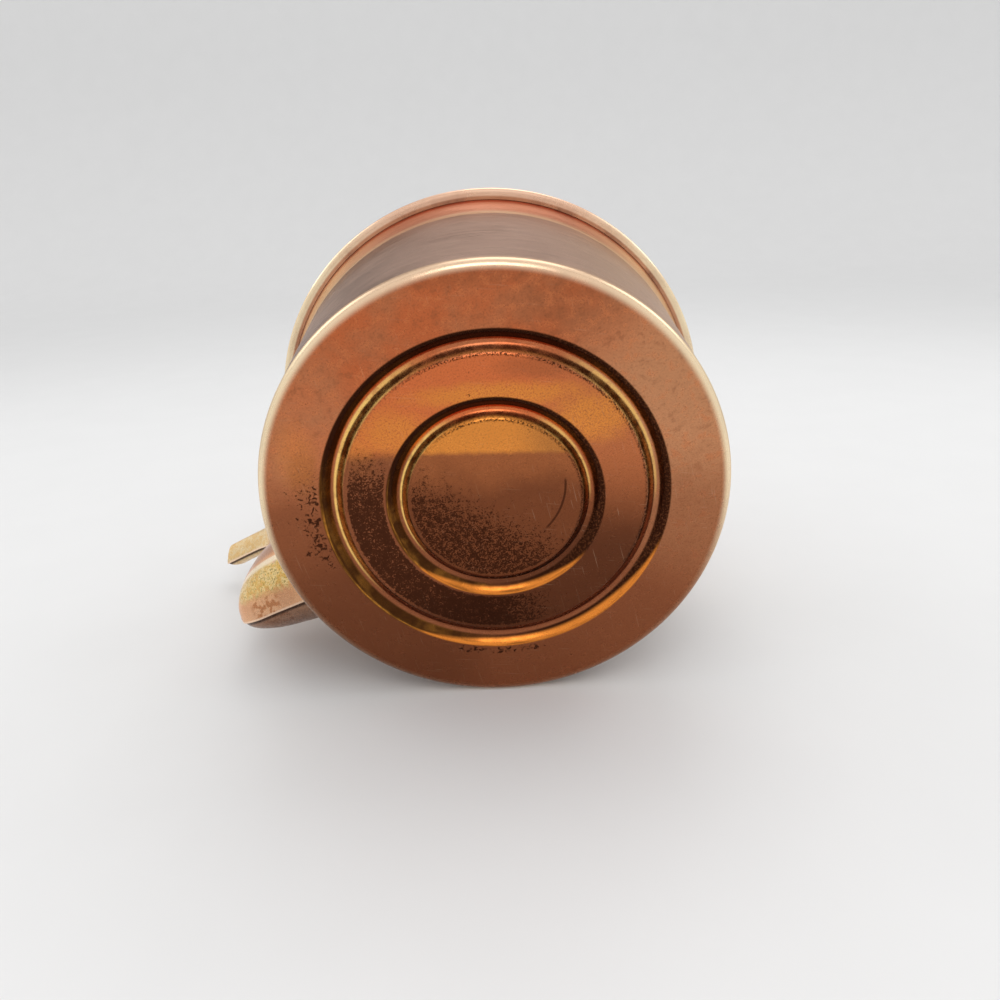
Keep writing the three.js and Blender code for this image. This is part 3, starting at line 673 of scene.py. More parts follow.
# The arc of painted light in each groove's wall: its middle's way to the right and up, and its inner edge
LIT_ARCS = ((0.33, -0.945, 0.711), (0.03, -1.0, 0.434))

# A curved scratch on the base, in millimetres: the centre of its curve, its radius and the way to its middle
MARK_CENTRE = (3.4, -4.9, 0)
MARK_R = 25.7
MARK_WAY = (0.629, 0.777, 0)

# Patches on the base, in shares of its radius: right, up, half width, half height and strength
# Golden patches are partly heat tone and partly painted sheen
GOLD_PATCHES = [
    (0.02, 0.47, 0.34, 0.05, 0.9),
    (0.40, 0.36, 0.16, 0.10, 0.9),
    (-0.40, 0.32, 0.14, 0.10, 0.8),
    (-0.55, 0.24, 0.07, 0.10, 0.6),
    (-0.81, 0.24, 0.08, 0.14, 0.3),
]
DUSK_PATCHES = [
    (0.36, 0.84, 0.26, 0.14, 0.35),
    (-0.10, 0.94, 0.40, 0.04, 0.4),
    (0.20, 0.58, 0.16, 0.05, 0.4),
    (-0.79, 0.15, 0.06, 0.11, 0.55),
]


def patches(f, spots, ragged):
    """The strongest patch at each place on the base, with ragged edges."""
    right, up = base_share(f, photo_right), base_share(f, photo_up)
    strongest = 0.0
    for x, y, half_x, half_y, strength in spots:
        dx = f.product(f.math("SUBTRACT", right, x), 1 / half_x)
        dy = f.product(f.math("SUBTRACT", up, y), 1 / half_y)
        off = f.vector("LENGTH", f.make("ShaderNodeCombineXYZ", {0: dx, 1: dy}))
        strongest = f.largest(f.step(f.total(off, ragged), 0.4, 1.5, strength, 0.0), strongest)
    return strongest


def base_share(f, way):
    """How far a place lies along that way, as a share of the base's radius."""
    return f.product(f.along(way), 1 / WALL_FOOT_R)


def facing(f, x, y):
    """How far a place on the base lies towards that way in the photograph: the angle's cosine."""
    way = (x * photo_right + y * photo_up).normalized()
    return f.vector("DOT_PRODUCT", f.vector("NORMALIZE", f.flat()), tuple(way))


def band(f, reach, inner, outer, soft=0.004):
    """A ring from the inner to the outer share of the radius."""
    return f.product(f.step(reach, inner - soft, inner + soft), f.step(reach, outer + soft, outer - soft))


def bands(f, reach, rings):
    return f.largest(*(band(f, reach, inner, outer) for inner, outer in rings))


def base_stains(f, reach, grain, ragged):
    """Brown specks, dense at the lower left of each ring, as a share from 0 to 1."""
    slant = base_share(f, -0.5 * photo_right - 0.85 * photo_up)
    low_left = facing(f, -0.72, -0.70)
    on_disc = f.product(f.step(reach, 0.37, 0.35), f.step(slant, -0.16, 0.20, 0.12, 0.74))
    on_middle = f.product(band(f, reach, 0.470, 0.628, 0.01), f.step(low_left, 0.0, 0.80, 0.14, 0.88))
    density = f.largest(on_middle, f.largest(on_disc, 0.05))
    patchy = f.total(f.product(density, 0.60), f.product(ragged, 0.35))
    patchy = f.total(patchy, f.product(f.centred(grain), 1.1), f.product(f.centred(f.noise(0.6, 5, 0.75)), 0.9))
    specks = f.step(patchy, 0.34, 0.46, 0.0, 0.86)

    on_left = f.product(band(f, reach, 0.745, 0.90, 0.01), f.step(facing(f, -0.99, -0.10), 0.93, 0.985))
    on_left = f.product(on_left, f.step(reach, 0.88, 0.77, 0.35, 0.85))
    below = f.step(facing(f, -0.02, -1.0), 0.93, 0.985, 0.0, 0.7)
    below = f.product(band(f, reach, 0.745, 0.785, 0.01), below)
    torn = f.noise(0.45, 5, 0.7, distortion=0.8)
    flaked = f.total(f.product(f.largest(on_left, below), 0.42), f.product(ragged, 0.6))
    flaked = f.total(flaked, f.product(f.centred(torn), 1.8))
    return f.largest(specks, f.step(flaked, 0.36, 0.42, 0.0, 0.9))


def base_tones(f, reach, blotch, grain):
    """The broad colours of the outer ring, the ring between the grooves, and the disc, with a painted sheen
    above and painted shade below.
    """
    cloud = f.noise(0.045, 4)
    ragged = f.centred(blotch)
    up, across = base_share(f, photo_up), base_share(f, photo_right)
    height = f.total(up, f.product(f.centred(cloud), 0.3))
    left, right = facing(f, -1.0, 0.25), facing(f, 1.0, 0.15)

    f.colour = f.mix(f.step(cloud, 0.40, 0.66), ORANGE, (0.47, 0.150, 0.062))
    # Paler tan towards the left and the right
    paler_sides = f.largest(f.step(left, 0.80, 0.97, 0.0, 0.35), f.step(right, 0.45, 0.90))
    f.lay(paler_sides, TAN)
    f.lay(patches(f, DUSK_PATCHES, ragged), BROWN)
    f.lay(f.step(blotch, 0.50, 0.66, 0.0, 0.40), (0.62, 0.190, 0.070))
    f.lay(f.step(blotch, 0.46, 0.34, 0.0, 0.35), BROWN)
    # Painted shade: brown towards the bottom of the base, less at the right
    lower_shade = f.product(f.step(height, 0.32, -0.10), f.step(right, 0.70, 0.97, 1.0, 0.65))
    f.lay(lower_shade, BROWN)

    # On the middle ring and the disc, a nearly level edge parts a painted sunlit sheen above from painted
    # shade below
    edge = f.total(base_share(f, photo_up + 0.033 * photo_right), f.product(ragged, 0.02))
    middle = f.mix(f.step(right, 0.3, 0.9), (0.66, 0.165, 0.054), (0.52, 0.160, 0.060))
    middle = f.mix(patches(f, DUSK_PATCHES, ragged), middle, BROWN)
    # Painted shade below the edge, darkest lowest
    below = f.mix(f.step(f.math("SUBTRACT", height, f.product(right, 0.35)), 0.0, -0.5), BROWN, DEEP)
    crisp = f.product(f.step(edge, 0.27, 0.19), f.step(right, 0.95, 0.5))
    gradual = f.product(f.step(edge, 0.36, -0.24), f.step(right, 0.5, 0.95))
    middle = f.mix(f.total(crisp, gradual), middle, below)
    # Painted sheen on the disc above the edge, painted shade below it
    sunlit = f.mix(f.step(across, 0.05, 0.25), GOLD, (0.52, 0.195, 0.048))
    shaded = f.mix(f.step(height, 0.22, 0.0), (0.35, 0.112, 0.041), (0.195, 0.061, 0.025))
    disc = f.mix(f.step(edge, 0.238, 0.208), sunlit, shaded)
    middle = f.mix(f.step(reach, 0.385, 0.375), middle, disc)
    f.lay(f.step(reach, 0.645, 0.635), middle)

    # Golden patches: heat tone with a painted sheen, strongest above the edge
    gold = f.product(patches(f, GOLD_PATCHES, ragged), f.step(grain, 0.36, 0.56, 0.3, 1.0))
    gold = f.product(gold, f.largest(f.step(up, 0.19, 0.27, 0.15, 1.0), f.step(reach, 0.70, 0.72)))
    f.lay(gold, GOLD)
    f.lay(f.step(grain, 0.50, 0.34, 0.0, 0.38), DEEP)
    # Light grains, golden in the painted sheen above
    f.lay(f.step(grain, 0.60, 0.74, 0.0, 0.30), f.mix(f.step(up, 0.1, 0.3), TAN, GOLD))
    low_left = f.step(facing(f, -0.65, -0.76), 0.75, 0.97, 0.0, 0.6)
    f.lay(f.product(low_left, f.step(reach, 0.735, 0.745)), DEEP)


def groove_tones(f, reach, blotch, grain, turns):
    """The two grooves: walls dark with soot and painted shade, painted golden glints and a painted lit arc,
    painted bright valleys and dark crust.
    """
    left, right = facing(f, -1.0, 0.25), facing(f, 1.0, 0.15)
    # Noise that breaks up the painted highlight of the lit arcs
    patchy = f.product(f.step(grain, 0.3, 0.5, 0.8, 1.0), f.step(turns, 0.3, 0.6, 0.45, 1.0))
    # Painted golden glints, most at the lower left and on thin rings
    glint = f.product(f.step(facing(f, -0.8, -0.6), 0.5, 0.9, 0.0, 0.9), f.step(turns, 0.46, 0.60, 0.25, 1.0))
    glint = f.product(glint, f.step(blotch, 0.35, 0.60, 0.5, 1.0))
    glint = f.product(glint, f.largest(bands(f, reach, GLINT_LINES), 0.28))
    # Groove walls: soot, darkened further as painted shade, with painted glints
    shade = f.mix(glint, SOOT, (0.60, 0.250, 0.040))
    # Lighter brown grains on the walls, most towards the right
    right_grains = f.product(f.step(grain, 0.50, 0.62), f.step(right, 0.2, 0.9, 0.1, 0.8))
    shade = f.mix(right_grains, shade, (0.16, 0.055, 0.022))
    # Painted highlight: an amber arc lit on each groove's lower wall
    lit = 0.0
    for x, y, start in LIT_ARCS:
        way = facing(f, x, y)
        inward = f.math("SUBTRACT", reach, f.step(way, 0.97, 0.56, 0.0, 0.026))
        arc_share = f.product(f.step(way, 0.56, 0.70), band(f, inward, start, start + 0.08, 0.007))
        lit = f.largest(arc_share, lit)
    f.lay(bands(f, reach, GROOVE_WALLS), f.mix(f.product(lit, patchy), shade, AMBER))

    # Painted highlights in the valleys, yellow at the left and right
    shine = f.largest(f.step(left, 0.55, 0.90), f.step(facing(f, 0.87, 0.5), 0.80, 0.98, 0.0, 0.7))
    shine = f.product(shine, f.step(blotch, 0.34, 0.52, 0.45, 1.0))
    f.lay(f.product(bands(f, reach, GROOVE_VALLEYS), shine), YELLOW)
    calm = f.step(left, 0.55, 0.92, 1.0, 0.2)
    slope = f.product(bands(f, reach, GROOVE_SLOPES), calm, f.step(grain, 0.36, 0.56, 0.9, 0.4))
    f.lay(slope, (0.22, 0.080, 0.016))
    crust = f.product(bands(f, reach, GROOVE_SHOULDERS), calm, f.step(grain, 0.42, 0.56, 0.95, 0.1))
    crust = f.product(crust, f.step(facing(f, 0.1, -1.0), 0.8, 0.4, 0.4, 1.0))
    f.lay(crust, SOOT)


def copper_base():
    """The underside: heat-toned copper with soot and painted shade in its grooves, brown stains and fine
    scratches, a painted sheen above, painted shade below and painted highlights on its edge and grooves.
    """
    f = Finish("copper_base", 1.0, 0.3)
    reach = f.product(f.radius(), 1 / WALL_FOOT_R)
    blotch = f.noise(0.22, 5, 0.65)
    grain = f.noise(1.5, 4, 0.7)
    turns = f.round_streaks(2.2)
    stains = base_stains(f, reach, grain, f.centred(blotch))

    base_tones(f, reach, blotch, grain)
    scuffed = f.step(facing(f, 0.9, -0.35), 0.75, 0.98, 0.10, 0.18)
    f.lay(f.product(scratches(f), scuffed), RIM)
    f.lay(stains, SOOT)
    groove_tones(f, reach, blotch, grain, turns)
    # Painted highlight round the base's edge, strongest at the top, creamiest at the sides
    rim = f.product(f.step(reach, 0.952, 0.985), f.step(base_share(f, photo_up), -0.50, 0.15, 0.10, 0.92))
    sides = f.math("ABSOLUTE", facing(f, 1.0, 0.0))
    f.lay(rim, f.mix(f.step(sides, 0.3, 0.9), RIM, CREAM))
    from_mark = f.vector("SUBTRACT", f.flat(), MARK_CENTRE)
    mark = band(f, f.vector("LENGTH", from_mark), MARK_R - 0.4, MARK_R + 0.4, 0.2)
    turn = f.vector("DOT_PRODUCT", f.vector("NORMALIZE", from_mark), MARK_WAY)
    f.lay(f.product(mark, f.step(turn, 0.89, 0.93, 0.0, 0.75)), SOOT)

    rough = f.total(f.step(blotch, 0.3, 0.7, 0.17, 0.30), f.product(stains, 0.20))
    f.bump((f.noise(0.03, 2), 1.0), (grain, 0.02), (turns, 0.008))
    return f.finish(rough)


def scratches(f):
    """Two sets of short, thin scratches that cross."""
    fine = 0.0
    for along, across in (((0.8, 0.6, 0), (-0.6, 0.8, 0)), ((0.3, -0.95, 0), (0.95, 0.3, 0))):
        x = f.product(f.along(along), 0.07)
        y = f.product(f.along(across), 2.6)
        lines = f.noise(1.0, 2, 0.5, f.make("ShaderNodeCombineXYZ", {0: x, 1: y}), 0.4)
        fine = f.largest(f.step(lines, 0.67, 0.74), fine)
    return fine


def copper_wall():
    """The wall: grey tarnish, kept dark also as painted shade, with fine streaks round it, painted
    highlights towards the upper right and the top, and lighter copper at its foot, flare and bead, with
    painted highlights at the sides.
    """
    f = Finish("copper_wall", 1.0, 0.3)
    height = f.along(axis)
    streaks = f.round_streaks(2.2)
    cloud = f.noise(0.03, 4)
    blotch = f.noise(0.12, 4, 0.6)
    f.shader.inputs["Specular Tint"].default_value = (0.70, 0.60, 0.55, 1)
    sides = f.math("ABSOLUTE", facing(f, 1.0, 0.0))
    smear = f.noise(0.05, 4, 0.6, f.vector("MULTIPLY", f.place, (1, 1, 5.0)))
    # Grey tarnish, kept dark also as painted shade
    f.colour = f.mix(f.step(cloud, 0.36, 0.66), (0.235, 0.159, 0.130), (0.385, 0.270, 0.220))
    f.lay(f.step(smear, 0.48, 0.68, 0.0, 0.55), (0.56, 0.405, 0.330))
    f.lay(f.step(streaks, 0.40, 0.7, 0.0, 0.45), (0.50, 0.365, 0.298))
    # Painted highlights: lighter towards the upper right and the top
    f.lay(f.step(facing(f, 0.8, 0.6), 0.70, 0.97, 0.0, 0.65), (0.76, 0.530, 0.360))
    f.lay(f.step(facing(f, 0.05, 1.0), 0.85, 1.0, 0.0, 0.45), (0.66, 0.460, 0.370))
    ragged = f.total(height, f.product(f.centred(blotch), 3.0))
    # Painted highlights: the foot, flare and bead bands turn creamy at the sides
    side_highlight = f.step(sides, 0.35, 0.85)
    f.lay(f.step(height, 5.5, 3.0, 0.0, 0.92), f.mix(side_highlight, RIM, CREAM))
    f.lay(f.step(ragged, WALL_TOP_Z - 2.5, WALL_TOP_Z - 0.5), f.mix(side_highlight, FLARE, CREAM))
    flush = f.mix(side_highlight, (0.66, 0.285, 0.190), (1.00, 0.720, 0.450))
    f.lay(f.step(height, WALL_TOP_Z + 1.0, WALL_TOP_Z + 6.0, 0.0, 0.85), flush)
    flush = f.mix(side_highlight, (0.62, 0.180, 0.110), (0.95, 0.560, 0.350))
    f.lay(f.step(height, BEAD_Z - 6.2, BEAD_Z - 3.2), flush)
    rough = f.step(streaks, 0.3, 0.7, 0.26, 0.36)
    f.bump((f.noise(0.025, 2), 0.8), (streaks, 0.006), (blotch, 0.02))
    return f.finish(rough)


def copper_shell():
    """Copper that is handled and wiped: warm, with soft brown clouds, fine streaks round it and a painted
    highlight along the bead, creamiest at the sides.
    """
    f = Finish("copper_shell", 1.0, 0.25)
    streaks = f.round_streaks(2.4, 1.5)
    cloud = f.noise(0.05, 5, 0.6)
    f.colour = f.mix(f.step(cloud, 0.44, 0.68), (0.62, 0.300, 0.170), (0.40, 0.190, 0.115))
    f.lay(f.step(streaks, 0.5, 0.8, 0.0, 0.30), (0.80, 0.480, 0.310))
    spots = f.step(f.total(f.noise(0.9, 3, 0.7), f.product(cloud, 0.5)), 0.93, 1.01, 0.0, 0.7)
    f.lay(spots, (0.12, 0.045, 0.025))
    # Painted highlight: a lighter band round the bead, creamiest at the sides
    bead = f.product(f.step(f.radius(), BEAD_R - 3.6, BEAD_R - 2.8), f.step(cloud, 0.35, 0.7, 1.0, 0.7))
    bead_side_highlight = f.step(f.math("ABSOLUTE", facing(f, 1.0, 0.0)), 0.35, 0.85)
    f.lay(bead, f.mix(bead_side_highlight, (0.90, 0.590, 0.420), CREAM))
    rough = f.total(f.step(cloud, 0.3, 0.7, 0.18, 0.32), f.product(spots, 0.2))
    f.bump((f.noise(0.03, 2), 0.9), (streaks, 0.008))
    return f.finish(rough)


def copper_spout(name, shade):
    """The spout: pinkish copper with a golden, olive-specked patina on its bulge. Painted shade lies above
    the bulge's crest and a painted highlight along it; the seam's lap has a painted highlight, with painted
    shadow and dirt beside it. shade is the share of painted shade laid on a half, most on its lower part.
    """
    f = Finish(name, 1.0, 0.28)
    cloud = f.noise(0.07, 4)
    blotch = f.noise(0.35, 4, 0.65)
    grain = f.noise(1.3, 4, 0.7)
    ragged = f.centred(blotch)
    out, seam, height = f.along((1, 0, 0)), f.along((0, 1, 0)), f.along(axis)
    # How far a place lies above the crest line of the bulge, which rises outwards
    ridge = f.total(f.along((0.39, 0, 1)), 7.4)
    f.colour = f.mix(f.step(cloud, 0.4, 0.65), (0.78, 0.400, 0.200), (0.62, 0.285, 0.135))
    # Painted shade above the bulge's crest, where it turns from the light
    f.lay(f.step(ridge, 1.0, 6.0, 0.0, 0.7), (0.42, 0.200, 0.110))
    f.lay(f.step(ridge, -9.0, -20.0, 0.0, 0.6), (0.86, 0.560, 0.360))
    torn = f.total(ridge, f.product(ragged, 12.0))
    flank = f.step(seam, -6.0, -10.0)
    patina = f.product(f.step(torn, -0.5, -2.5), f.step(torn, -16.0, -10.0), flank)
    golden = f.mix(f.step(blotch, 0.42, 0.58), (0.74, 0.470, 0.120), (0.96, 0.750, 0.350))
    f.lay(f.product(patina, f.step(grain, 0.36, 0.52, 0.5, 1.0)), golden)
    specks = f.product(patina, f.step(f.total(grain, f.product(ragged, 0.3)), 0.52, 0.60, 0.0, 0.9))
    f.lay(specks, (0.30, 0.200, 0.050))
    # Painted highlight along the bulge's crest
    crest = f.product(f.step(ridge, -3.2, -0.8), f.step(ridge, 2.0, 0.6), flank)
    f.lay(f.product(crest, 0.8), (0.98, 0.860, 0.640))
    rust = f.product(f.step(torn, -24.0, -20.0), f.step(torn, -9.0, -13.0))
    rust = f.product(rust, f.step(blotch, 0.48, 0.56, 0.0, 0.75))
    rust = f.product(rust, f.step(out, -124.0, -119.0), f.step(out, -103.0, -108.0))
    rust = f.product(rust, f.math("SUBTRACT", 1.0, patina))
    f.lay(rust, (0.46, 0.170, 0.060))
    neck = f.mix(f.step(blotch, 0.40, 0.60), (0.84, 0.570, 0.250), (0.90, 0.710, 0.410))
    f.lay(f.step(height, 98.0, 110.0, 0.0, 0.85), neck)
    # Painted shade on a half, most on its lower part
    f.lay(f.step(height, 30.0, 62.0, shade, shade / 4), (0.15, 0.075, 0.050))
    # Painted highlight on the edge of the seam's lap
    lip = f.product(f.step(seam, -1.1, -0.7), f.step(seam, 0.6, 0.2))
    f.lay(f.product(lip, 0.8), (0.94, 0.680, 0.500))
    # Painted shadow beside the lap, with dirt in the seam
    grime_and_shadow = f.product(f.step(seam, 0.0, 0.2), f.step(seam, 2.2, 1.0))
    f.lay(f.product(grime_and_shadow, 0.92), (0.045, 0.018, 0.010))
    rough = f.step(grain, 0.3, 0.7, 0.22, 0.36)
    f.bump((f.noise(0.08, 2), 0.35), (grain, 0.02))
    return f.finish(rough)


def tin_lining():
    """The tinned inside: dull grey with darker water marks."""
    f = Finish("tin_lining", 1.0, 0.42)
    cloud = f.noise(0.05, 5, 0.6)
    rings = f.round_streaks(0.5, 4.0, 2.0)
    f.colour = f.mix(f.step(cloud, 0.4, 0.7), (0.64, 0.61, 0.56), (0.42, 0.38, 0.33))
    f.lay(f.step(rings, 0.55, 0.75, 0.0, 0.4), (0.76, 0.74, 0.70))
    f.bump((f.noise(0.3, 4), 0.08), (rings, 0.02))
    return f.finish(f.step(cloud, 0.3, 0.7, 0.36, 0.55))


def aged_brass():
    """Aged brass: dull and bright clouds, dark specks and a brushed grain."""
    f = Finish("aged_brass", 1.0, 0.3)
    cloud = f.noise(0.15, 5, 0.6)
    grain = f.noise(1.4, 3, 0.7)
    brushed = f.noise(1.0, 3, 0.6, f.vector("MULTIPLY", f.place, (2.5, 2.5, 0.25)))
    f.colour = f.mix(f.step(cloud, 0.42, 0.68), (0.62, 0.43, 0.17), (0.36, 0.22, 0.085))
    f.lay(f.step(grain, 0.58, 0.72, 0.0, 0.6), (0.14, 0.08, 0.035))
    rough = f.total(f.step(cloud, 0.3, 0.7, 0.22, 0.38), f.product(brushed, 0.06))
    f.bump((brushed, 0.02), (grain, 0.012))
    return f.finish(rough)


def dark_wood(name, stretch):
    """Turned hardwood with an oiled, worn surface. stretch squeezes the grain's coordinates."""
    f = Finish(name, 0.0, 0.4)
    f.shader.inputs["Coat Weight"].default_value = 0.1
    f.shader.inputs["Coat Roughness"].default_value = 0.3
    f.shader.inputs["Specular IOR Level"].default_value = 0.25
    warped = f.vector("MULTIPLY", f.place, stretch)
    grain = f.noise(1.0, 6, 0.6, warped, 0.6)
    pores = f.noise(3.0, 3, 0.7, warped)
    wear = f.noise(0.09, 3)
    f.colour = f.mix(f.step(grain, 0.35, 0.65), (0.055, 0.020, 0.008), (0.120, 0.046, 0.018))
    f.lay(f.step(wear, 0.55, 0.75, 0.0, 0.5), (0.19, 0.080, 0.030))
    f.lay(f.step(pores, 0.58, 0.68, 0.0, 0.8), (0.022, 0.010, 0.006))
    f.bump((pores, 0.05), (grain, 0.03))
    return f.finish(f.step(wear, 0.35, 0.7, 0.46, 0.32))


def smooth_group():
    """Geometry nodes that shade a mesh smooth, apart from its sharp edges."""
    group = bpy.data.node_groups.new("smooth_faces", "GeometryNodeTree")
    group.interface.new_socket("Geometry", in_out="INPUT", socket_type="NodeSocketGeometry")
    group.interface.new_socket("Geometry", in_out="OUTPUT", socket_type="NodeSocketGeometry")
    nodes, links = group.nodes, group.links
    start = nodes.new("NodeGroupInput")
    drop = nodes.new("GeometryNodeRemoveAttribute")
    drop.inputs["Name"].default_value = "custom_normal"
    faces = nodes.new("GeometryNodeSetShadeSmooth")
    angle = nodes.new("GeometryNodeInputMeshEdgeAngle")
    soft = nodes.new("ShaderNodeMath")
    soft.operation = "LESS_THAN"
    soft.inputs[1].default_value = math.radians(28)
    edges = nodes.new("GeometryNodeSetShadeSmooth")
    edges.domain = "EDGE"
    end = nodes.new("NodeGroupOutput")
    links.new(start.outputs[0], drop.inputs["Geometry"])
    links.new(drop.outputs["Geometry"], faces.inputs["Geometry"])
    links.new(faces.outputs["Geometry"], edges.inputs["Geometry"])
    links.new(angle.outputs[0], soft.inputs[0])
    links.new(soft.outputs[0], edges.inputs["Shade Smooth"])
    links.new(edges.outputs["Geometry"], end.inputs[0])
    return group


def dress(node, material, width):
    """Gives a CAD node its material, rounded edges and smooth faces."""
    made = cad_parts[node]
    made.data.materials.clear()
    made.data.materials.append(material)
    weld = made.modifiers.new("weld", "WELD")
    weld.merge_threshold = 0.01 * MM
    bevel = made.modifiers.new("round", "BEVEL")
    bevel.width = width * MM
    bevel.segments = 2
    bevel.limit_method = "ANGLE"
    bevel.angle_limit = math.radians(40)
    bevel.harden_normals = False
    smooth = made.modifiers.new("smooth", "NODES")
    smooth.node_group = smoothing


# Making the pieces

base_copper = copper_base()
wall_copper = copper_wall()
shell_copper = copper_shell()
spout_lit = copper_spout("copper_spout", 0.0)
spout_shaded = copper_spout("copper_spout_shaded", 0.75)
lining = tin_lining()
brass = aged_brass()
grip_wood = dark_wood("grip_wood", (0.12, 0.9, 0.9))
knob_wood = dark_wood("knob_wood", (0.9, 0.9, 0.12))
smoothing = smooth_group()


def enter(piece, body, node, slot, *materials):
    """Gives a piece its materials, says what it rides on and hides the CAD node that it replaces. slot is
    not used.
    """
    for material in materials:
        piece.data.materials.append(material)
    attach(piece, body)
    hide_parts(node)


enter(make_pan(), "kettle", "pan", "copper", base_copper, wall_copper, lining)
enter(make_dome(), "kettle", "dome", "copper", shell_copper, lining)
enter(make_neck(), "kettle", "neck_ring", "copper", shell_copper)
enter(make_spout_half("spout_left_shell", -1, SPOUT_LAP), "kettle", "spout_left_half", "copper", spout_lit)
enter(make_spout_half("spout_right_shell", 1, 0), "kettle", "spout_right_half", "copper", spout_shaded)
enter(make_lid(), "lid", "lid_dome", "copper", shell_copper, lining)
enter(make_lid_ring(), "lid", "lid_ring", "copper", lining)
enter(make_knob_plate(), "lid", "knob_plate", "brass", brass)
enter(make_knob(), "lid", "knob", "wood", knob_wood)

grip_z = grip_axis_z()
for piece, body, node, slot, material in (
    (make_grip(), "grip", "grip", "wood", grip_wood),
    (make_ferrule("ferrule_cap_front", 1), "grip", "grip_ferrule_front", "brass", brass),
    (make_ferrule("ferrule_cap_back", -1), "grip", "grip_ferrule_back", "brass", brass),
):
    piece.data.transform(Matrix.Translation((0, 0, grip_z * MM)))
    enter(piece, body, node, slot, material)

for side in ("front", "back"):
    dress(f"ear_{side}", brass, 0.35)
    dress(f"bail_strap_{side}", brass, 0.45)
    dress(f"pivot_pin_{side}", brass, 0.25)
    dress(f"rivet_{side}_left", shell_copper, 0.25)
    dress(f"rivet_{side}_right", shell_copper, 0.25)
dress("grip_rod", brass, 0.2)
dress("knob_screw", brass, 0.15)


# Floors, light and camera. The kettle lies on its side in the photograph, so its table leans against it.

TABLE_LEAN = math.radians(6.32)
TABLE_OFF = 0.0876  # from the base's centre
TABLE_FRONT = -0.215
TABLE_NEAR = 0.3
TABLE_REACH = 1.6
TABLE_SIDE = 2.2
BEND_R = 0.6
BACKDROP_HEIGHT = 3.0
FLOOR_HOLE = 0.084
FLOOR_R = 3.0
FLOOR_SIDES = 96
UNDER_KETTLE = 92.0  # in millimetres, as the materials' places are
WORLD_BELOW = 0.74
WORLD_ABOVE = 0.93


def floor_finish(name, clear_within=0.0):
    """A plain pale floor, which the lamps and the world shine through.

    The camera, reflections and refractions see its front, and reflections leave out what lies within
    clear_within millimetres of the axis.
    """
    f = Finish(name, 0.0, 0.5)
    f.colour = f.mix(f.noise(0.02, 3, 0.5), (0.75, 0.75, 0.75), (0.78, 0.78, 0.78))
    material = f.finish()
    clear = f.make("ShaderNodeBsdfTransparent", output="BSDF")
    behind = f.make("ShaderNodeNewGeometry", output="Backfacing")
    reflected = f.make("ShaderNodeLightPath", output="Is Glossy Ray")
    if clear_within:
        reflected = f.product(reflected, f.step(f.radius(), clear_within, clear_within * 1.2))
    shown = f.largest(f.make("ShaderNodeLightPath", output="Is Camera Ray"), reflected)
    shown = f.largest(f.make("ShaderNodeLightPath", output="Is Transmission Ray"), shown)
    share = f.largest(behind, f.math("SUBTRACT", 1.0, shown))
    mixed = f.make("ShaderNodeMixShader", {0: share, 1: f.shader.outputs[0], 2: clear})
    f.links.new(mixed, f.nodes["Material Output"].inputs["Surface"])
    return material


def stage_mesh(name, points, faces, material):
    """A floor or backdrop, from points in metres."""
    mesh = bpy.data.meshes.new(name)
    mesh.from_pydata([tuple(p) for p in points], [], faces)
    mesh.polygons.foreach_set("use_smooth", [True] * len(faces))
    mesh.materials.append(material)
    new_object(name, mesh)


table_up = math.cos(TABLE_LEAN) * photo_up + math.sin(TABLE_LEAN) * axis
table_back = math.cos(TABLE_LEAN) * axis - math.sin(TABLE_LEAN) * photo_up


def on_table(back, up):
    return -table_up * TABLE_OFF + table_back * back + table_up * up


# The table's rows from front to back. Those up to TABLE_NEAR keep the shading flat under the kettle.
cove = [on_table(back, 0) for back in (TABLE_FRONT, 0, TABLE_NEAR, TABLE_REACH)]
for angle in np.linspace(0.1, math.pi / 2, 12):
    cove.append(on_table(TABLE_REACH + BEND_R * math.sin(angle), BEND_R - BEND_R * math.cos(angle)))
cove.append(on_table(TABLE_REACH + BEND_R, BACKDROP_HEIGHT))
table_points = [p + side * TABLE_SIDE * photo_right for p in cove for side in (-1, 1)]
table_faces = [(2 * i, 2 * i + 1, 2 * i + 3, 2 * i + 2) for i in range(len(cove) - 1)]
stage_mesh("table", table_points, table_faces, floor_finish("pale_table"))

around = np.linspace(0, 2 * math.pi, FLOOR_SIDES, endpoint=False)
floor_points = [(r * math.cos(a), r * math.sin(a), 0) for r in (FLOOR_HOLE, FLOOR_R) for a in around]
floor_faces = []
for i in range(FLOOR_SIDES):
    j = (i + 1) % FLOOR_SIDES
    floor_faces.append((i, FLOOR_SIDES + i, FLOOR_SIDES + j, j))
stage_mesh("floor", floor_points, floor_faces, floor_finish("pale_floor", UNDER_KETTLE))

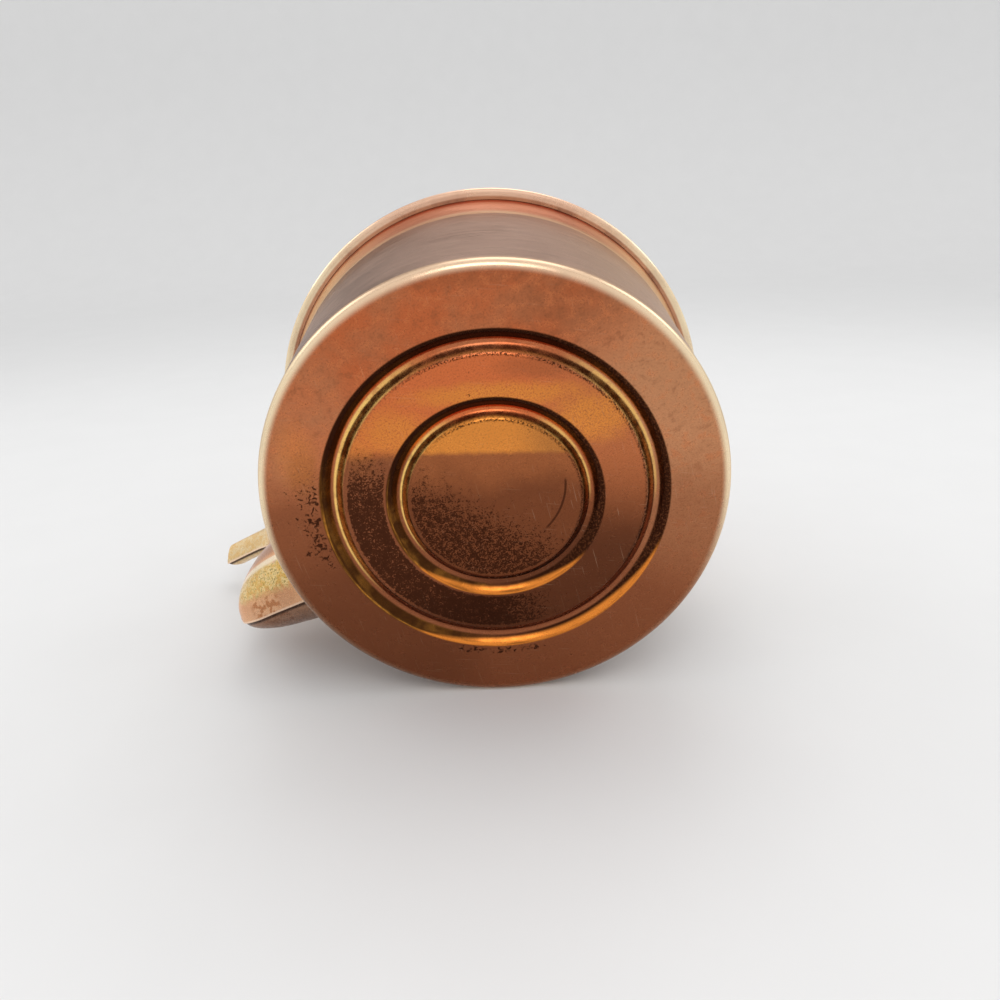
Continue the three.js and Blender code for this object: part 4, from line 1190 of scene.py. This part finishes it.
# A pale world, a little brighter towards the photograph's top
world = bpy.data.worlds.new("studio")
bpy.context.scene.world = world
world.use_nodes = True
nodes, links = world.node_tree.nodes, world.node_tree.links
toward = nodes.new("ShaderNodeVectorMath")
toward.operation = "DOT_PRODUCT"
toward.inputs[1].default_value = photo_up
glow = nodes.new("ShaderNodeMapRange")
glow.inputs["From Min"].default_value = -1
glow.inputs["To Min"].default_value = WORLD_BELOW
glow.inputs["To Max"].default_value = WORLD_ABOVE
ways = nodes.new("ShaderNodeTexCoord")
links.new(ways.outputs["Generated"], toward.inputs[0])
links.new(toward.outputs["Value"], glow.inputs["Value"])
links.new(glow.outputs[0], nodes["Background"].inputs["Strength"])
nodes["Background"].inputs["Color"].default_value = (1, 1, 1, 1)


def softbox(name, direction, distance, width, power):
    """A square area lamp that faces the kettle's middle."""
    lamp = bpy.data.lights.new(name, "AREA")
    lamp.shape = "SQUARE"
    lamp.size = width
    lamp.energy = power
    made = new_object(name, lamp)
    way = Vector(direction).normalized()
    made.location = Vector((0, 0, 0.05)) + way * distance
    made.rotation_euler = way.to_track_quat("Z", "Y").to_euler()


softbox("key", photo_up + 0.7 * axis + 0.15 * photo_right, 1.0, 0.6, 1.6)
softbox("front_top", 0.79 * photo_up - 0.616 * axis, 0.9, 0.4, 1.0)
softbox("left", -0.75 * photo_right + 0.55 * photo_up + 0.4 * axis, 1.0, 0.45, 0.9)
softbox("right", 0.75 * photo_right + 0.55 * photo_up + 0.4 * axis, 1.0, 0.45, 0.9)

camera_data = bpy.data.cameras.new("camera")
camera_data.sensor_width = SENSOR_MM
camera_data.lens = FOCAL_PX / PHOTO * SENSOR_MM
camera_data.shift_x = (PHOTO / 2 - BASE_CENTRE_PX[0]) / PHOTO
camera_data.shift_y = (BASE_CENTRE_PX[1] - PHOTO / 2) / PHOTO
camera_data.clip_start = 0.01
camera = new_object("camera", camera_data)
forward = -math.sin(CAMERA_TILT) * photo_up + math.cos(CAMERA_TILT) * axis
above = math.cos(CAMERA_TILT) * photo_up + math.sin(CAMERA_TILT) * axis
right = photo_right * math.cos(CAMERA_ROLL) - above * math.sin(CAMERA_ROLL)
up = photo_right * math.sin(CAMERA_ROLL) + above * math.cos(CAMERA_ROLL)
stand = Matrix((right, up, -forward)).transposed().to_4x4()
stand.translation = -CAMERA_DISTANCE * forward
camera.matrix_world = stand
bpy.context.scene.camera = camera
bpy.context.scene.view_settings.view_transform = "Standard"
